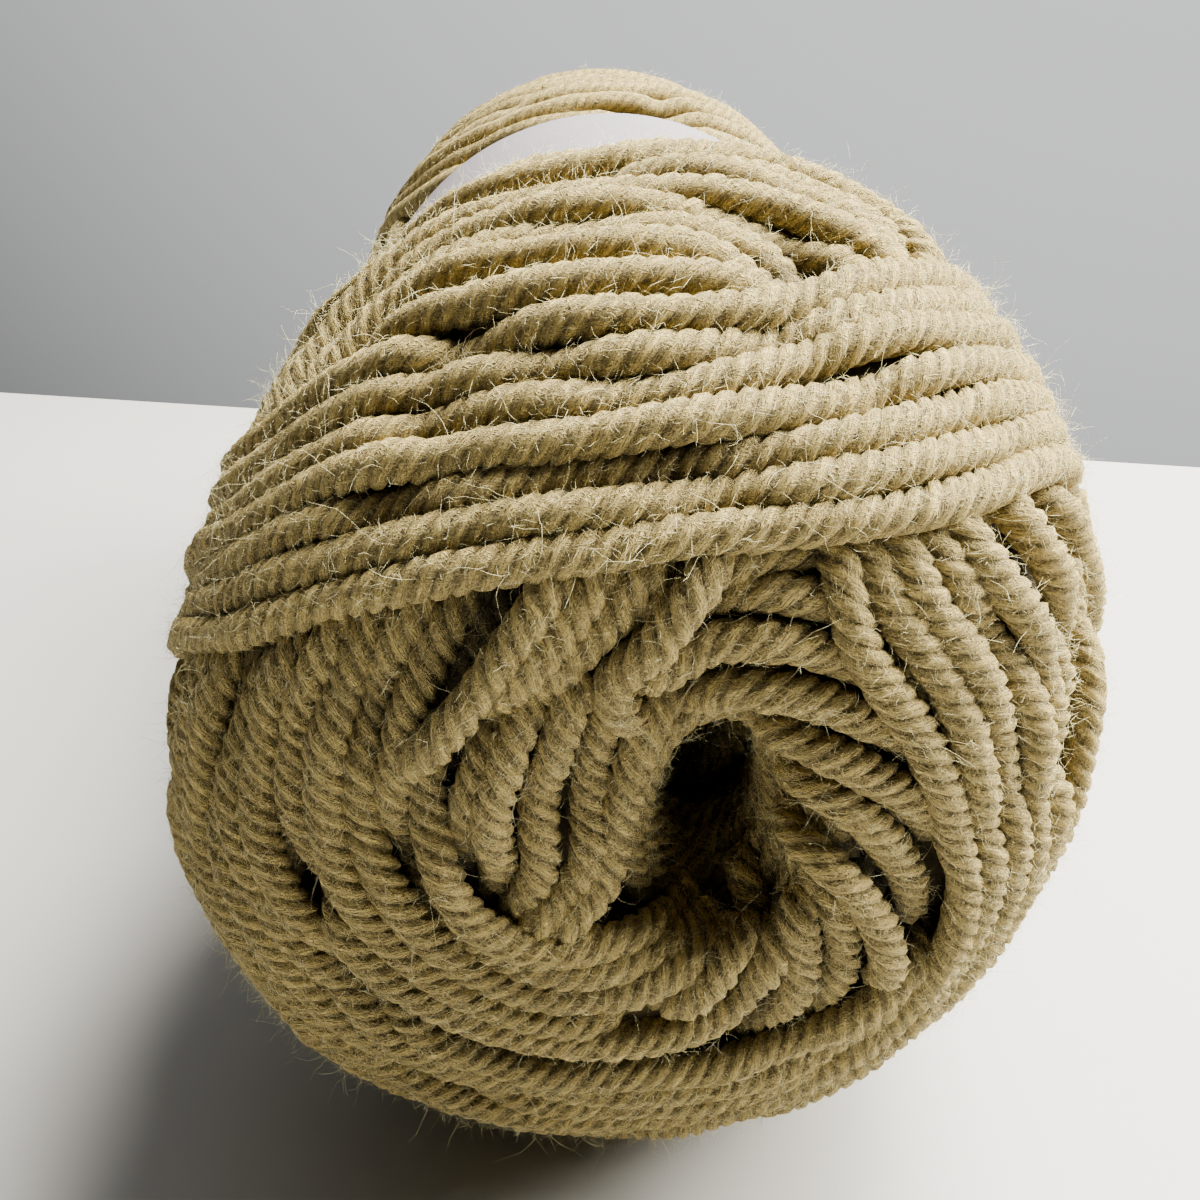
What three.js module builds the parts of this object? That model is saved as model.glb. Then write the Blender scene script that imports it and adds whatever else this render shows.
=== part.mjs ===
// Centre-pull skein of plied worsted yarn, lying on its side, with its plain paper band.
// Millimetres. X across, Y along the skein's axis with the near end at -Y, Z up.
import * as THREE from "three";
import { mergeVertices } from "three/addons/utils/BufferGeometryUtils.js";

// Driving sizes of the wound yarn
const NEAR_END = -87.6; // end face at the near side, along the axis
const FAR_END = 91.4;
const NEAR_RADIUS = 48.0; // full part of each bulge, under its ridges
const FAR_RADIUS = 48.2;
const NEAR_SQUARENESS = 3.9; // superellipse exponents of the two rounded ends
const FAR_SQUARENESS = 3.5;
const REST_HEIGHT = 47.5; // height of the axis above the surface it rests on

// Driving sizes of the hole that the working end is pulled from, and of the closed far end
const HOLE_RADIUS = 7;
const HOLE_DEPTH = 46;
const FLOOR_DOME = 4; // how much deeper the hole is at its wall than in its middle
const MOUTH_RADIUS = 16;
const MOUTH_DEPTH = 13;
const DIMPLE_RADIUS = 14;
const DIMPLE_DEPTH = 9;
const HOLE_OFFSET = { across: 1, up: 5 }; // the near hole has settled off the body's axis
const OFFSET_FADE = { from: 18, to: 44 }; // radii between which that offset dies away

// Driving sizes of the paper band and of the hourglass that it pulls the skein into
const BAND_MIDDLE = 4;
const BAND_WIDTH = 44;
const BAND_THICKNESS = 0.8;
const BAND_CLEARANCE = 0.45;
const WAIST_RADIUS = 41.6;
const WAIST_DEPTH = 0.14; // share of the radius that the waist takes away
const WAIST_SPREAD = 41;
const BAND_SHOULDER = 12; // how far the yarn takes to swell out beside the band

// How far the section is from round, as shares of the radius
const NEAR_OVAL = { cos2: -0.045, sin2: 0.038, cos3: -0.008, sin3: -0.01 };
const FAR_OVAL = { cos2: -0.045, sin2: 0.008, cos3: 0, sin3: 0 };
const OVAL_BLEND = 8;

// Fineness of the solids
const QUARTER = Math.PI / 2;
const SHOULDER_TURN = 0.8 * QUARTER; // where a rounded end hands over to the side
const FLOOR_STEPS = 4;
const MOUTH_STEPS = 6;
const END_STEPS = 14;
const SIDE_STEPS = 24;
const DIMPLE_STEPS = 5;
const AROUND = 64;
const ALONG = 58;
const BAND_ALONG = 4;
const LINE_STEPS = 90;
const RIDGE_POWER = 1.5; // how softly a bundle rises from the body
const FAR_WRAP = 0.85;
const HANDOVER = { from: -40, to: 70 }; // where a bundle's lean changes from its near reach to its far one
const CLOSING = { from: -60, to: 80 }; // where a bundle's loop takes up what it lacks of a full turn
const LEAST_CLEAR = 4; // keeps a bundle's lean finite where it just touches its reach, in mm2
const UNWRAP = 12; // a bundle bent round the hole runs straight again this far outside its reach

// The main twists of the winding. Each bundle of turns is a closed loop that passes the near
// hole at the angle "at" (degrees from +X towards +Z) no closer than "reach", and the far end
// no closer than "farReach". "wrapUp" and "wrapDown" say how straight it runs past the near
// end on its two sides: 1 is a straight line across, less bends round the hole.
const BUNDLES = [
  { name: "keel", at: 262, reach: 36, wrapUp: 0.6, wrapDown: 0.6, farReach: 38, half: 10, rise: 2.6 },
  { name: "belly", at: 310, reach: 33, wrapUp: 0.7, wrapDown: 0.7, farReach: 24, half: 10, rise: 2.6 },
  { name: "flank", at: 350, reach: 42, wrapUp: 0.8, wrapDown: 0.8, farReach: 18, half: 11, rise: 2.6 },
  { name: "back", at: 170, reach: 40, wrapUp: 0.8, wrapDown: 0.8, farReach: 30, half: 10, rise: 2.4 },
  { name: "lip", at: 250, reach: 19, wrapUp: 0.5, wrapDown: 0.5, farReach: 34, half: 8, rise: 2.8 },
  { name: "slant", at: 60, reach: 17, wrapUp: 0.8, wrapDown: 0.8, farReach: 40, half: 8, rise: 2.4 },
  { name: "swirl", at: 195, reach: 28, wrapUp: 0.35, wrapDown: 0.35, farReach: 17, half: 10, rise: 3.4 },
  { name: "outer_right", at: 20, reach: 25, wrapUp: 0.4, wrapDown: 0.4, farReach: 22, half: 8, rise: 3.2 },
  { name: "shoulder", at: 35, reach: 46, wrapUp: 0.9, wrapDown: 0.9, farReach: 27, half: 9, rise: 3.2 },
  { name: "crown", at: 68, reach: 42, wrapUp: 0.9, wrapDown: 0.9, farReach: 32, half: 8, rise: 3.6 },
  { name: "sash", at: 103, reach: 33, wrapUp: 0.8, wrapDown: 0.95, farReach: 15, half: 12, rise: 4.4 },
];

const COLOURS = { yarn: 0xcdb98c, paper: 0xc9c4cf };
const ROUGHNESS = { yarn: 0.95, paper: 0.8 };

const smoothstep = (from, to, x) => THREE.MathUtils.smoothstep(x, from, to);
const mix = THREE.MathUtils.lerp;

// Radius of the hourglass body at a place along the axis, before the band presses it
function looseRadius(y) {
  const isNear = y < 0;
  const share = Math.min(1, isNear ? y / NEAR_END : y / FAR_END);
  const squareness = isNear ? NEAR_SQUARENESS : FAR_SQUARENESS;
  const radius = mix(NEAR_RADIUS, FAR_RADIUS, smoothstep(-BAND_WIDTH / 2, BAND_WIDTH / 2, y));
  const waist = 1 - WAIST_DEPTH * Math.exp(-(((y - BAND_MIDDLE) / WAIST_SPREAD) ** 2));
  return radius * waist * Math.pow(1 - Math.pow(share, squareness), 1 / squareness);
}

// How free of the band's pressure a place along the axis is, from 0 under it to 1 well beside it
function besideBand(y) {
  return smoothstep(0, BAND_SHOULDER, Math.abs(y - BAND_MIDDLE) - BAND_WIDTH / 2);
}

// Under the band the yarn is pressed to a straight sleeve, and it swells out again on either side
function bodyRadius(y) {
  return mix(WAIST_RADIUS, looseRadius(y), besideBand(y));
}

// How much longer or shorter than round the radius is, at an angle round the axis
function ovalShare(y, angle) {
  const near = 1 / (1 + Math.exp((y - BAND_MIDDLE) / OVAL_BLEND));
  const second = (oval) => oval.cos2 * Math.cos(2 * angle) + oval.sin2 * Math.sin(2 * angle);
  const third = (oval) => oval.cos3 * Math.cos(3 * angle) + oval.sin3 * Math.sin(3 * angle);
  const part = (oval) => second(oval) + third(oval);
  return 1 + near * part(NEAR_OVAL) + (1 - near) * part(FAR_OVAL);
}

// Share of the hole's offset that a ring of the body takes: all of it at the mouth, none on the side
function offsetShare(radius, y) {
  return y < BAND_MIDDLE ? 1 - smoothstep(OFFSET_FADE.from, OFFSET_FADE.to, radius) : 0;
}

// Outline from the bottom of the hole, out over the near end, along the side and into the far dimple
function outline() {
  const points = [];
  const add = (radius, y) => points.push(new THREE.Vector2(radius, y));
  const holeFloor = NEAR_END + HOLE_DEPTH;
  for (let k = 0; k <= FLOOR_STEPS; k++) {
    const turn = (QUARTER * k) / FLOOR_STEPS;
    add(HOLE_RADIUS * Math.sin(turn), holeFloor - FLOOR_DOME * (1 - Math.cos(turn)));
  }
  const nearEdge = turnAt(MOUTH_RADIUS / NEAR_RADIUS, NEAR_SQUARENESS);
  const mouthFace = NEAR_END * endPlace(nearEdge, NEAR_SQUARENESS);
  for (let k = 0; k <= MOUTH_STEPS; k++) {
    const turn = (QUARTER * k) / MOUTH_STEPS;
    const inward = MOUTH_DEPTH * (1 - Math.sin(turn));
    add(MOUTH_RADIUS - (MOUTH_RADIUS - HOLE_RADIUS) * Math.cos(turn), mouthFace + inward);
  }
  for (let k = 1; k <= END_STEPS; k++) {
    const y = NEAR_END * endPlace(mix(nearEdge, SHOULDER_TURN, k / END_STEPS), NEAR_SQUARENESS);
    add(bodyRadius(y), y);
  }
  const sideStart = NEAR_END * endPlace(SHOULDER_TURN, NEAR_SQUARENESS);
  const sideEnd = FAR_END * endPlace(SHOULDER_TURN, FAR_SQUARENESS);
  for (let k = 1; k < SIDE_STEPS; k++) {
    const y = mix(sideStart, sideEnd, k / SIDE_STEPS);
    add(bodyRadius(y), y);
  }
  const farEdge = turnAt(DIMPLE_RADIUS / FAR_RADIUS, FAR_SQUARENESS);
  for (let k = 0; k <= END_STEPS; k++) {
    const y = FAR_END * endPlace(mix(SHOULDER_TURN, farEdge, k / END_STEPS), FAR_SQUARENESS);
    add(bodyRadius(y), y);
  }
  const dimpleFace = FAR_END * endPlace(farEdge, FAR_SQUARENESS);
  for (let k = 1; k <= DIMPLE_STEPS; k++) {
    const share = 1 - k / DIMPLE_STEPS;
    add(DIMPLE_RADIUS * share, dimpleFace - DIMPLE_DEPTH * Math.cos(QUARTER * share) ** 2);
  }
  const spaced = new THREE.SplineCurve(points).getSpacedPoints(ALONG);
  spaced[0].x = 0;
  spaced[ALONG].x = 0;
  return spaced;
}

// A rounded end is drawn by a turn from its pole, 0, to its full radius, a quarter turn
function endPlace(turn, squareness) {
  return Math.pow(Math.cos(turn), 2 / squareness);
}

function turnAt(radiusShare, squareness) {
  return Math.asin(Math.pow(radiusShare, squareness / 2));
}

// Length along the outline at each of its points, and the radius and place at any such length
function measured(profile) {
  const lengths = [0];
  for (let k = 1; k < profile.length; k++) {
    lengths.push(lengths[k - 1] + profile[k].distanceTo(profile[k - 1]));
  }
  const at = (length) => {
    let k = 1;
    while (k < profile.length - 1 && lengths[k] < length) k++;
    const share = (length - lengths[k - 1]) / (lengths[k] - lengths[k - 1]);
    return profile[k - 1].clone().lerp(profile[k], THREE.MathUtils.clamp(share, 0, 1));
  };
  const crossing = (radius, fromNear) => {
    const order = profile.map((_, k) => (fromNear ? k : profile.length - 1 - k));
    return lengths[order.find((k) => profile[k].x >= radius)];
  };
  return { at, crossing };
}

// One side of a bundle's loop, as angles swept at evenly eased steps from its near crossing to its far one
function sidePass(surface, bundle, wrap) {
  const start = surface.crossing(bundle.reach, true);
  const end = surface.crossing(bundle.farReach, false);
  const steps = [];
  let swept = 0;
  for (let k = 0; k < LINE_STEPS; k++) {
    const phase = (Math.PI * (k + 0.5)) / LINE_STEPS;
    const place = surface.at(mix(start, end, (1 - Math.cos(phase)) / 2));
    const stride = ((end - start) * Math.PI * Math.sin(phase)) / (2 * LINE_STEPS);
    const lean = (reach, straightness) => {
      const clear = Math.sqrt(Math.max(place.x ** 2 - reach ** 2, LEAST_CLEAR));
      const free = mix(straightness, 1, smoothstep(reach, reach + UNWRAP, place.x));
      return reach / (free * place.x * clear);
    };
    const towardsFar = smoothstep(HANDOVER.from, HANDOVER.to, place.y);
    swept += stride * mix(lean(bundle.reach, wrap), lean(bundle.farReach, FAR_WRAP), towardsFar);
    steps.push({ place, swept });
  }
  return { steps, swept };
}

// The point of the plain body at a radius and place of its outline, turned to an angle
function onBody(radius, y, angle) {
  const long = radius * ovalShare(y, angle);
  const share = offsetShare(radius, y);
  const across = long * Math.cos(angle) + HOLE_OFFSET.across * share;
  const up = long * Math.sin(angle) + HOLE_OFFSET.up * share;
  return new THREE.Vector3(across, y, up);
}

// Points along the middle of a bundle: both sides of its loop, closed on themselves at the far end
function bundleLine(surface, bundle) {
  const start = THREE.MathUtils.degToRad(bundle.at);
  const passes = [
    { sign: 1, ...sidePass(surface, bundle, bundle.wrapUp) },
    { sign: -1, ...sidePass(surface, bundle, bundle.wrapDown) },
  ];
  const missing = (2 * Math.PI - passes[0].swept - passes[1].swept) / 2;
  return passes.flatMap(({ sign, steps }) =>
    steps.map(({ place, swept }) => {
      const angle = start + sign * (swept + missing * smoothstep(CLOSING.from, CLOSING.to, place.y));
      return onBody(place.x, place.y, angle);
    }),
  );
}

// Height of the highest bundle over a point of the plain body
function ridgeHeight(point, lines) {
  let height = 0;
  for (const { half, rise, line } of lines) {
    let nearest = Infinity;
    for (const centre of line) nearest = Math.min(nearest, centre.distanceToSquared(point));
    const share = nearest / (half * half);
    if (share < 1) height = Math.max(height, rise * (1 - share) ** RIDGE_POWER);
  }
  return height;
}

function closedGeometry(geometry) {
  geometry.deleteAttribute("normal");
  geometry.deleteAttribute("uv");
  return mergeVertices(geometry);
}

// The wound yarn: the outline turned about Y, made oval, raised along its bundles and flat where it rests
function woundYarn() {
  const profile = outline();
  const surface = measured(profile);
  const geometry = new THREE.LatheGeometry(profile, AROUND);
  const normals = geometry.getAttribute("normal").clone();
  const lines = BUNDLES.map((bundle) => ({ ...bundle, line: bundleLine(surface, bundle) }));
  const position = geometry.getAttribute("position");
  const point = new THREE.Vector3();
  const outward = new THREE.Vector3();
  for (let k = 0; k < position.count; k++) {
    point.fromBufferAttribute(position, k);
    outward.fromBufferAttribute(normals, k);
    const radius = Math.hypot(point.x, point.z);
    point.copy(onBody(radius, point.y, Math.atan2(point.z, point.x)));
    const outsideHole = smoothstep(HOLE_RADIUS, MOUTH_RADIUS, radius);
    const height = ridgeHeight(point, lines) * besideBand(point.y) * outsideHole;
    point.addScaledVector(outward, height);
    position.setXYZ(k, point.x, point.y, Math.max(point.z, -REST_HEIGHT));
  }
  return closedGeometry(geometry);
}

// The band: a closed paper sleeve that follows the oval waist
function paperBand() {
  const inner = WAIST_RADIUS + BAND_CLEARANCE;
  const outer = inner + BAND_THICKNESS;
  const edges = [BAND_MIDDLE - BAND_WIDTH / 2, BAND_MIDDLE + BAND_WIDTH / 2];
  const profile = [];
  for (let k = 0; k <= BAND_ALONG; k++) {
    profile.push(new THREE.Vector2(outer, mix(edges[0], edges[1], k / BAND_ALONG)));
  }
  for (let k = BAND_ALONG; k >= 0; k--) {
    profile.push(new THREE.Vector2(inner, mix(edges[0], edges[1], k / BAND_ALONG)));
  }
  profile.push(profile[0].clone());
  const geometry = new THREE.LatheGeometry(profile, AROUND);
  const position = geometry.getAttribute("position");
  for (let k = 0; k < position.count; k++) {
    const x = position.getX(k);
    const z = position.getZ(k);
    const share = ovalShare(position.getY(k), Math.atan2(z, x));
    position.setX(k, x * share);
    position.setZ(k, z * share);
  }
  return closedGeometry(geometry);
}

function piece(name, geometry, finish) {
  const material = new THREE.MeshStandardMaterial({
    color: COLOURS[finish],
    roughness: ROUGHNESS[finish],
    metalness: 0,
  });
  const mesh = new THREE.Mesh(geometry, material);
  mesh.name = name;
  return mesh;
}

const skein = new THREE.Group();
skein.add(piece("wound_yarn", woundYarn(), "yarn"));
skein.add(piece("paper_band", paperBand(), "paper"));

// Stand the skein on z = 0 with its box centred on the origin
const box = new THREE.Box3().setFromObject(skein);
const middle = box.getCenter(new THREE.Vector3());
skein.position.set(-middle.x, -middle.y, -box.min.z);
skein.updateMatrixWorld(true);

export default skein;
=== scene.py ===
"""A centre-pull skein of plied worsted yarn, wound turn by turn round its hole, with its paper band."""

import math

import bpy
import numpy as np
from mathutils import Matrix, Vector


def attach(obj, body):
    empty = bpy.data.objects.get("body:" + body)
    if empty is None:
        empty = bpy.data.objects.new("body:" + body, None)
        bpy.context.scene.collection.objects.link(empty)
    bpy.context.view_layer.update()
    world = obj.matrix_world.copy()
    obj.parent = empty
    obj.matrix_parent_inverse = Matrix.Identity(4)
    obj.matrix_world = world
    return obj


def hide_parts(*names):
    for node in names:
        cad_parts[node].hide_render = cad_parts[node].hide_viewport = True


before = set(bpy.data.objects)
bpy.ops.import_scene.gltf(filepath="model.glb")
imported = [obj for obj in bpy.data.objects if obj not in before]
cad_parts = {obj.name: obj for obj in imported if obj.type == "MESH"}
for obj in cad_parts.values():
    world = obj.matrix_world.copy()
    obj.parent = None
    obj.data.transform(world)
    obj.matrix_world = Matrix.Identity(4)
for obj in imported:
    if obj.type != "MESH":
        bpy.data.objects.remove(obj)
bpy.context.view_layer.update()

bl_info = {
    "name": "Skein of yarn",
    "version": (1, 0, 0),
    "blender": (4, 5, 0),
    "location": "View3D > Sidebar > Skein",
    "description": "Winds a centre-pull skein of plied yarn strand by strand, with its fuzz and band",
    "category": "Add Mesh",
}

# The winding is worked out in millimetres round the skein's own axis, with the near end at -Y
MM = 0.001
AXIS_AT = np.array([0.74, -2.84, 47.5])  # where the middle of that axis stands in the shared frame
TURN = 2 * math.pi
TINY = 1e-9

# Outline of the wound body
NEAR_END, FAR_END = -87.6, 91.4
NEAR_RADIUS, FAR_RADIUS = 50.0, 49.6
NEAR_SQUARENESS, FAR_SQUARENESS = 3.9, 3.5
NEAR_TO_FAR = 22.0  # how far on each side of the middle the near radius turns into the far one
WAIST_DEPTH, WAIST_SPREAD = 0.165, 41.0
BAND_MIDDLE, BAND_WIDTH, BAND_SHOULDER = 4.0, 44.0, 12.0
SLEEVE_RADIUS = 41.6  # yarn pressed straight under the band
MOUTH_RADIUS, MOUTH_DEPTH = 16.0, 13.0
HOLE_RADIUS, HOLE_DEPTH, FLOOR_DOME = 7.0, 46.0, 4.0
DIMPLE_RADIUS, DIMPLE_DEPTH = 14.0, 9.0
HOLE_OFFSET, OFFSET_FADE = (1.0, 5.0), (18.0, 44.0)  # across and up; radii over which it fades
THROAT_SHIFT = (5.0, -2.0)  # the throat of the hole lies to the right of its mouth
THROAT_PINCH, THROAT_LENGTH = 0.42, 10.0
NEAR_OVAL = (-0.045, 0.038, -0.008, -0.010)  # shares of two and of three swells round the axis
FAR_OVAL = (-0.07, 0.008, 0.0, 0.0)
OVAL_BLEND = 8.0
REST_HEIGHT = 47.5  # how far the floor lies below the axis

# The surface that the strands are laid on: a grid of steps along the outline and round the axis
STEP, COLUMNS = 0.5, 720
SHOULDER_TURN = 1.35  # where the outline's rounded ends meet its side
CURVE_POINTS, SHOULDER_POINTS, SIDE_POINTS = 40, 120, 220
WAY_OUT_SOFT = 1.5  # how far the ways out from the surface are evened
STRIDE_DEPTH = 4.0  # the surface's own measures are taken on it and this far in
STRIDE_ALONG, STRIDE_ROUND = (0.4, 3), (1.5, 80)  # their least and largest values
INWARD = (-0.25, 1.6)  # how far out or in they are drawn on, in steps of that depth

# The course of a strand
PATH_STEP, PASS_STEPS, GUIDE_STEPS = 0.8, 200, 60
LEAST_CLEAR = 4.0  # keeps a strand's way round from growing without end where it turns
UNWRAP = 12.0  # how far past its turn a strand goes over to its even course
NEAR_FACE, FAR_FACE = (-66, -50), (84, 70)  # where the end faces turn into the side
HANDOVER = (-40.0, 70.0)  # between these a strand goes over from its near course to its far one
CLOSING = (-60.0, 80.0)  # between these two turns are bent to meet at the far end
STEEPEST, MOST_ACROSS = 0.86, 0.95  # how nearly a strand may run round the axis
FAR_WRAP = 0.85
GUIDE_RADIUS = 22  # turns a guide line's angles into lengths, to space its points
SWAYS = ((1.0, 9.1, 2.3), (0.7, 4.3, 3.7))  # share, length and shift from strand to strand
WANDER = 0.22  # how far a strand strays sideways from its even course
LEAST_AROUND, LEAST_SOFT = 6, 5.0  # radii nearer the axis count as these
SINK, SINK_DEPTH = 15.0, 3.0  # length over which an end sinks, and how deep, in strand radii

# How strands rest on each other
DISC_RINGS = ((0.35, 6), (0.62, 10), (0.86, 14))  # radius and spots of each ring under a strand
PRESS = 0.85  # share of its radius that a strand keeps where another lies on it
BRIDGE, BRIDGE_STEPS = 0.05, 12  # sag of a strand over a hollow, and how many steps it bridges
STAMP_COLUMNS = (4, 6, 9, 14, 22, 34, 60)  # half widths of the patches that a strand marks
DEPTH_SIDE, DEPTH_MOUTH, DEPTH_FADE = 7.0, 3.4, (-2, 14)  # how deep the first strands lie
TRIM = 0.9  # how far the mean of the winding's outside lies inside the body's outline
LEVEL, PROUD = -1.8, 1.5  # centres above this level are squeezed to stand at most this much over it
DEEPEST = 10.0  # no centre lies deeper than this
FINE, LOCAL, WIDE = 0.6, 2.5, 9.0  # spreads over which the winding's height is evened
RELIEF, RELIEF_LIMIT = 0.3, 3  # bundles keep this share of how they stand over their neighbours
COVERED = 1.2  # a strand is covered where the winding rises this many radii over its centre
COVER_SPOTS = np.linspace(-0.8, 0.8, 5)
UNCOVERED = 6  # of 25 spots over a strand, how many may be open where it counts as hidden

# The lining of the hole, the coil in the far dimple and the under layers
LININGS, LINING_SPAN, LINING_LEAN, LINING_POINTS = 12, (6, -52), 1.2, 80  # strands down the wall
SPRING_TURNS, SPRING_SPAN, SPRING_POINTS, SPRING_SINK = 18.5, (14, -45), 1400, 6  # and over them
COIL_TURNS, COIL_SPAN, COIL_POINTS = 5.5, (1.5, 17.5), 400
BASE_FROM, BASE_TRIES, BASE_COUNT = -4, 14, 4  # the lowest of 14 places takes the next 4 turns
BASE_RADII, BASE_STRAY = (15, 18, 22, 26, 30, 34, 38, 42, 45), 1.5
BASE_FAR, BASE_WRAP = (12, 42), (0.6, 1.0)
BASE_SPACING, BASE_TURN = 2.75, 1.5
BASE_OUTER, BASE_FAR_OUTER = 30, 28  # crossings farther out than this are followed inwards

# The strand's own shape
PLIES = 4
PLY_TURNS = (-45, -20, 20)  # one groove and two crests, in degrees from the middle of a ply
GROOVE, CREST = 0.83, 1.03  # radius in the groove between two plies and on a ply
FLAT, BROAD = 0.97, 1.03  # how a strand is pressed flat
THICK_AND_THIN = ((0.03, 5.3, 1), (0.025, 2.1, 2))  # share, length and shift of its swells
UNEVEN = 0.035  # how much the radius varies from point to point
TAPER, TAPER_STEP, TIP = 0.55, 0.25, 0.3  # an end's thickness, its growth by the ring, its point
PHASE_STEP = 1.7  # how far each strand's plies are turned from the last one's
TIP_TURN = 0.7  # spreads the pattern of fibres round a tip
TONES = 97  # strands before a tone comes round again
TONE_APART = 40  # moves each strand's pattern of fibres away from the next one's
SIDES, RING_SPACING, FEWEST_RINGS = 12, 0.9, 4
DETAIL = {"yarn_under": (7, 1.5), "yarn_far": (6, 1.8)}  # sides and ring spacing, less than usual

# Where a strand shows and what holds it in
BAND_EASE, BAND_HOLD, BAND_COVERS = (5, 1), 0.95, 7  # strands end this far in from its edge
FLOOR_EASE, FLOOR_HOLD = 4, 0.86  # how sharply the floor stops a strand, and at what height
FLOOR_NEAR = 1.0  # strands higher above that aren't eased
SEEN_SPREAD, SHORTEST_RUN = 7, (8, 5)  # in path steps; the second of the pair bridges breaks

# Loose fibres; their rises say how far they stand up rather than lie along the strand
FIBRE_SHORT = dict(thickness=0.018, segments=2, lengths=(0.9, 2.8), rises=(0.0, 0.5))
FIBRE_LONG = dict(thickness=0.014, segments=6, lengths=(2.2, 6.0), rises=(0.05, 0.65))
FIBRE_CURL, FIBRE_STRAY, FIBRE_SPREAD = 2.4, 0.25, 0.9
FIBRE_ROOT, FIBRE_BURIED, FIBRE_THINS, FIBRE_LIFT = 0.97, 0.25, 0.5, 0.02
FLATTER = 0.6  # how much less a fibre runs along the strand where it rises
FUZZ_NEAR, FUZZ_FAR = -22, 30  # fibres grow nearer than the first place and farther than the second

# The core and the band, whose paper waves in ripples and flares at its edges
CORE_DEPTH, CORE_ENDS, CORE_ROWS, CORE_COLUMNS, CORE_LIFT = 5.0, 2, 8, 12, 0.3
BAND_CLEAR, BAND_SIDES, BAND_CUTS, BAND_SEED, BAND_CREASE = 0.55, 180, 14, 4, 40
RIPPLES, RIPPLE_DEPTH, RIPPLE_LEAN, EDGE_FLARE, FLARE_POWER = 5, 0.12, 0.06, 0.35, 6

# The yarn's finish: what makes it light (the crests' share is painted light and shade on the plies,
# cloud and tone its own uneven tone), how strongly each kind of drawn fibre shows, and its relief
CREST_PAINTED_LIGHT, CLOUD_LIGHT, TONE_LIGHT = 0.62, 0.50, 0.10
LONG_SHOW, TWISTED_SHOW, LOOSE_SHOW, GAPS_SHOW = 0.55, 0.35, 0.75, 0.8
LONG_RISE, TWISTED_RISE, LOOSE_RISE, CREST_RISE, GAPS_SINK = 0.8, 0.7, 0.9, 0.3, 0.8
PAINTED_SHADE_DEPTHS = (0.5, 4.6)  # depth below the outside down to which a strand has no painted shade, and depth at which its painted shade is darkest
GAP_PAINTED_SHADE, DEEP_PAINTED_SHADE = 0.4, 0.2  # gains of the painted shade's colour in the gaps between fibres and deep between strands

# The stage: the floor's far edge, the lights, the room and the camera
FLOOR_EDGE_AT, FLOOR_EDGE_WAY = (-0.172, 0.183), (0.327, -0.065)
FLOOR_LEFT, FLOOR_RIGHT, FLOOR_DEPTH = 1.2, 1.6, 2.0
LIGHTS = (  # name, place, size, and power as a share of the setting
    ("key", (0.54, 0.03, 0.42), 0.38, 2.6),
    ("top", (0.20, 0.12, 0.52), 0.30, 2.5),
)
LIGHTS_AIM, LIGHT_COLOUR = (0.0, -0.02, 0.045), (1.0, 0.95, 0.85)
LIGHTEST = (0.42, 0.80, 0.42)  # the way that the room is lightest
ROOM_DIM, ROOM_BRIGHT = (0.03, 0.029, 0.027, 1), (1.0, 1.01, 1.02, 1)
CAMERA_AT, CAMERA_TURN = (-5.68, -159.70, 64.50), (27.88, 1.60, 0.25)  # pitch, yaw and roll
SENSOR, CLIP_START = 36.0, 0.005


def smooth(start, end, x):
    """0 at the start, 1 at the end, with an even turn at both."""
    share = np.clip((x - start) / (end - start), 0, 1)
    return share * share * (3 - 2 * share)


def mix(a, b, share):
    return a + (b - a) * share


# ---------------------------------------------------------------- body


def loose_radius(y):
    """Radius of the yarn where no band presses it."""
    near = y < 0
    share = np.clip(np.where(near, y / NEAR_END, y / FAR_END), 0, 1)
    power = np.where(near, NEAR_SQUARENESS, FAR_SQUARENESS)
    radius = mix(NEAR_RADIUS, FAR_RADIUS, smooth(-NEAR_TO_FAR, NEAR_TO_FAR, y))
    waist = 1 - WAIST_DEPTH * np.exp(-(((y - BAND_MIDDLE) / WAIST_SPREAD) ** 2))
    return radius * waist * (1 - share**power) ** (1 / power)


def body_radius(y):
    """Radius of the yarn, pressed straight under the band."""
    free = smooth(0, BAND_SHOULDER, np.abs(y - BAND_MIDDLE) - BAND_WIDTH / 2)
    return mix(SLEEVE_RADIUS, loose_radius(y), free)


def rim_place(radius, full, power, end):
    """Place along the axis where an end's rounded-square outline has a radius."""
    return end * (1 - (radius / full) ** power) ** (1 / power)


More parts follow.
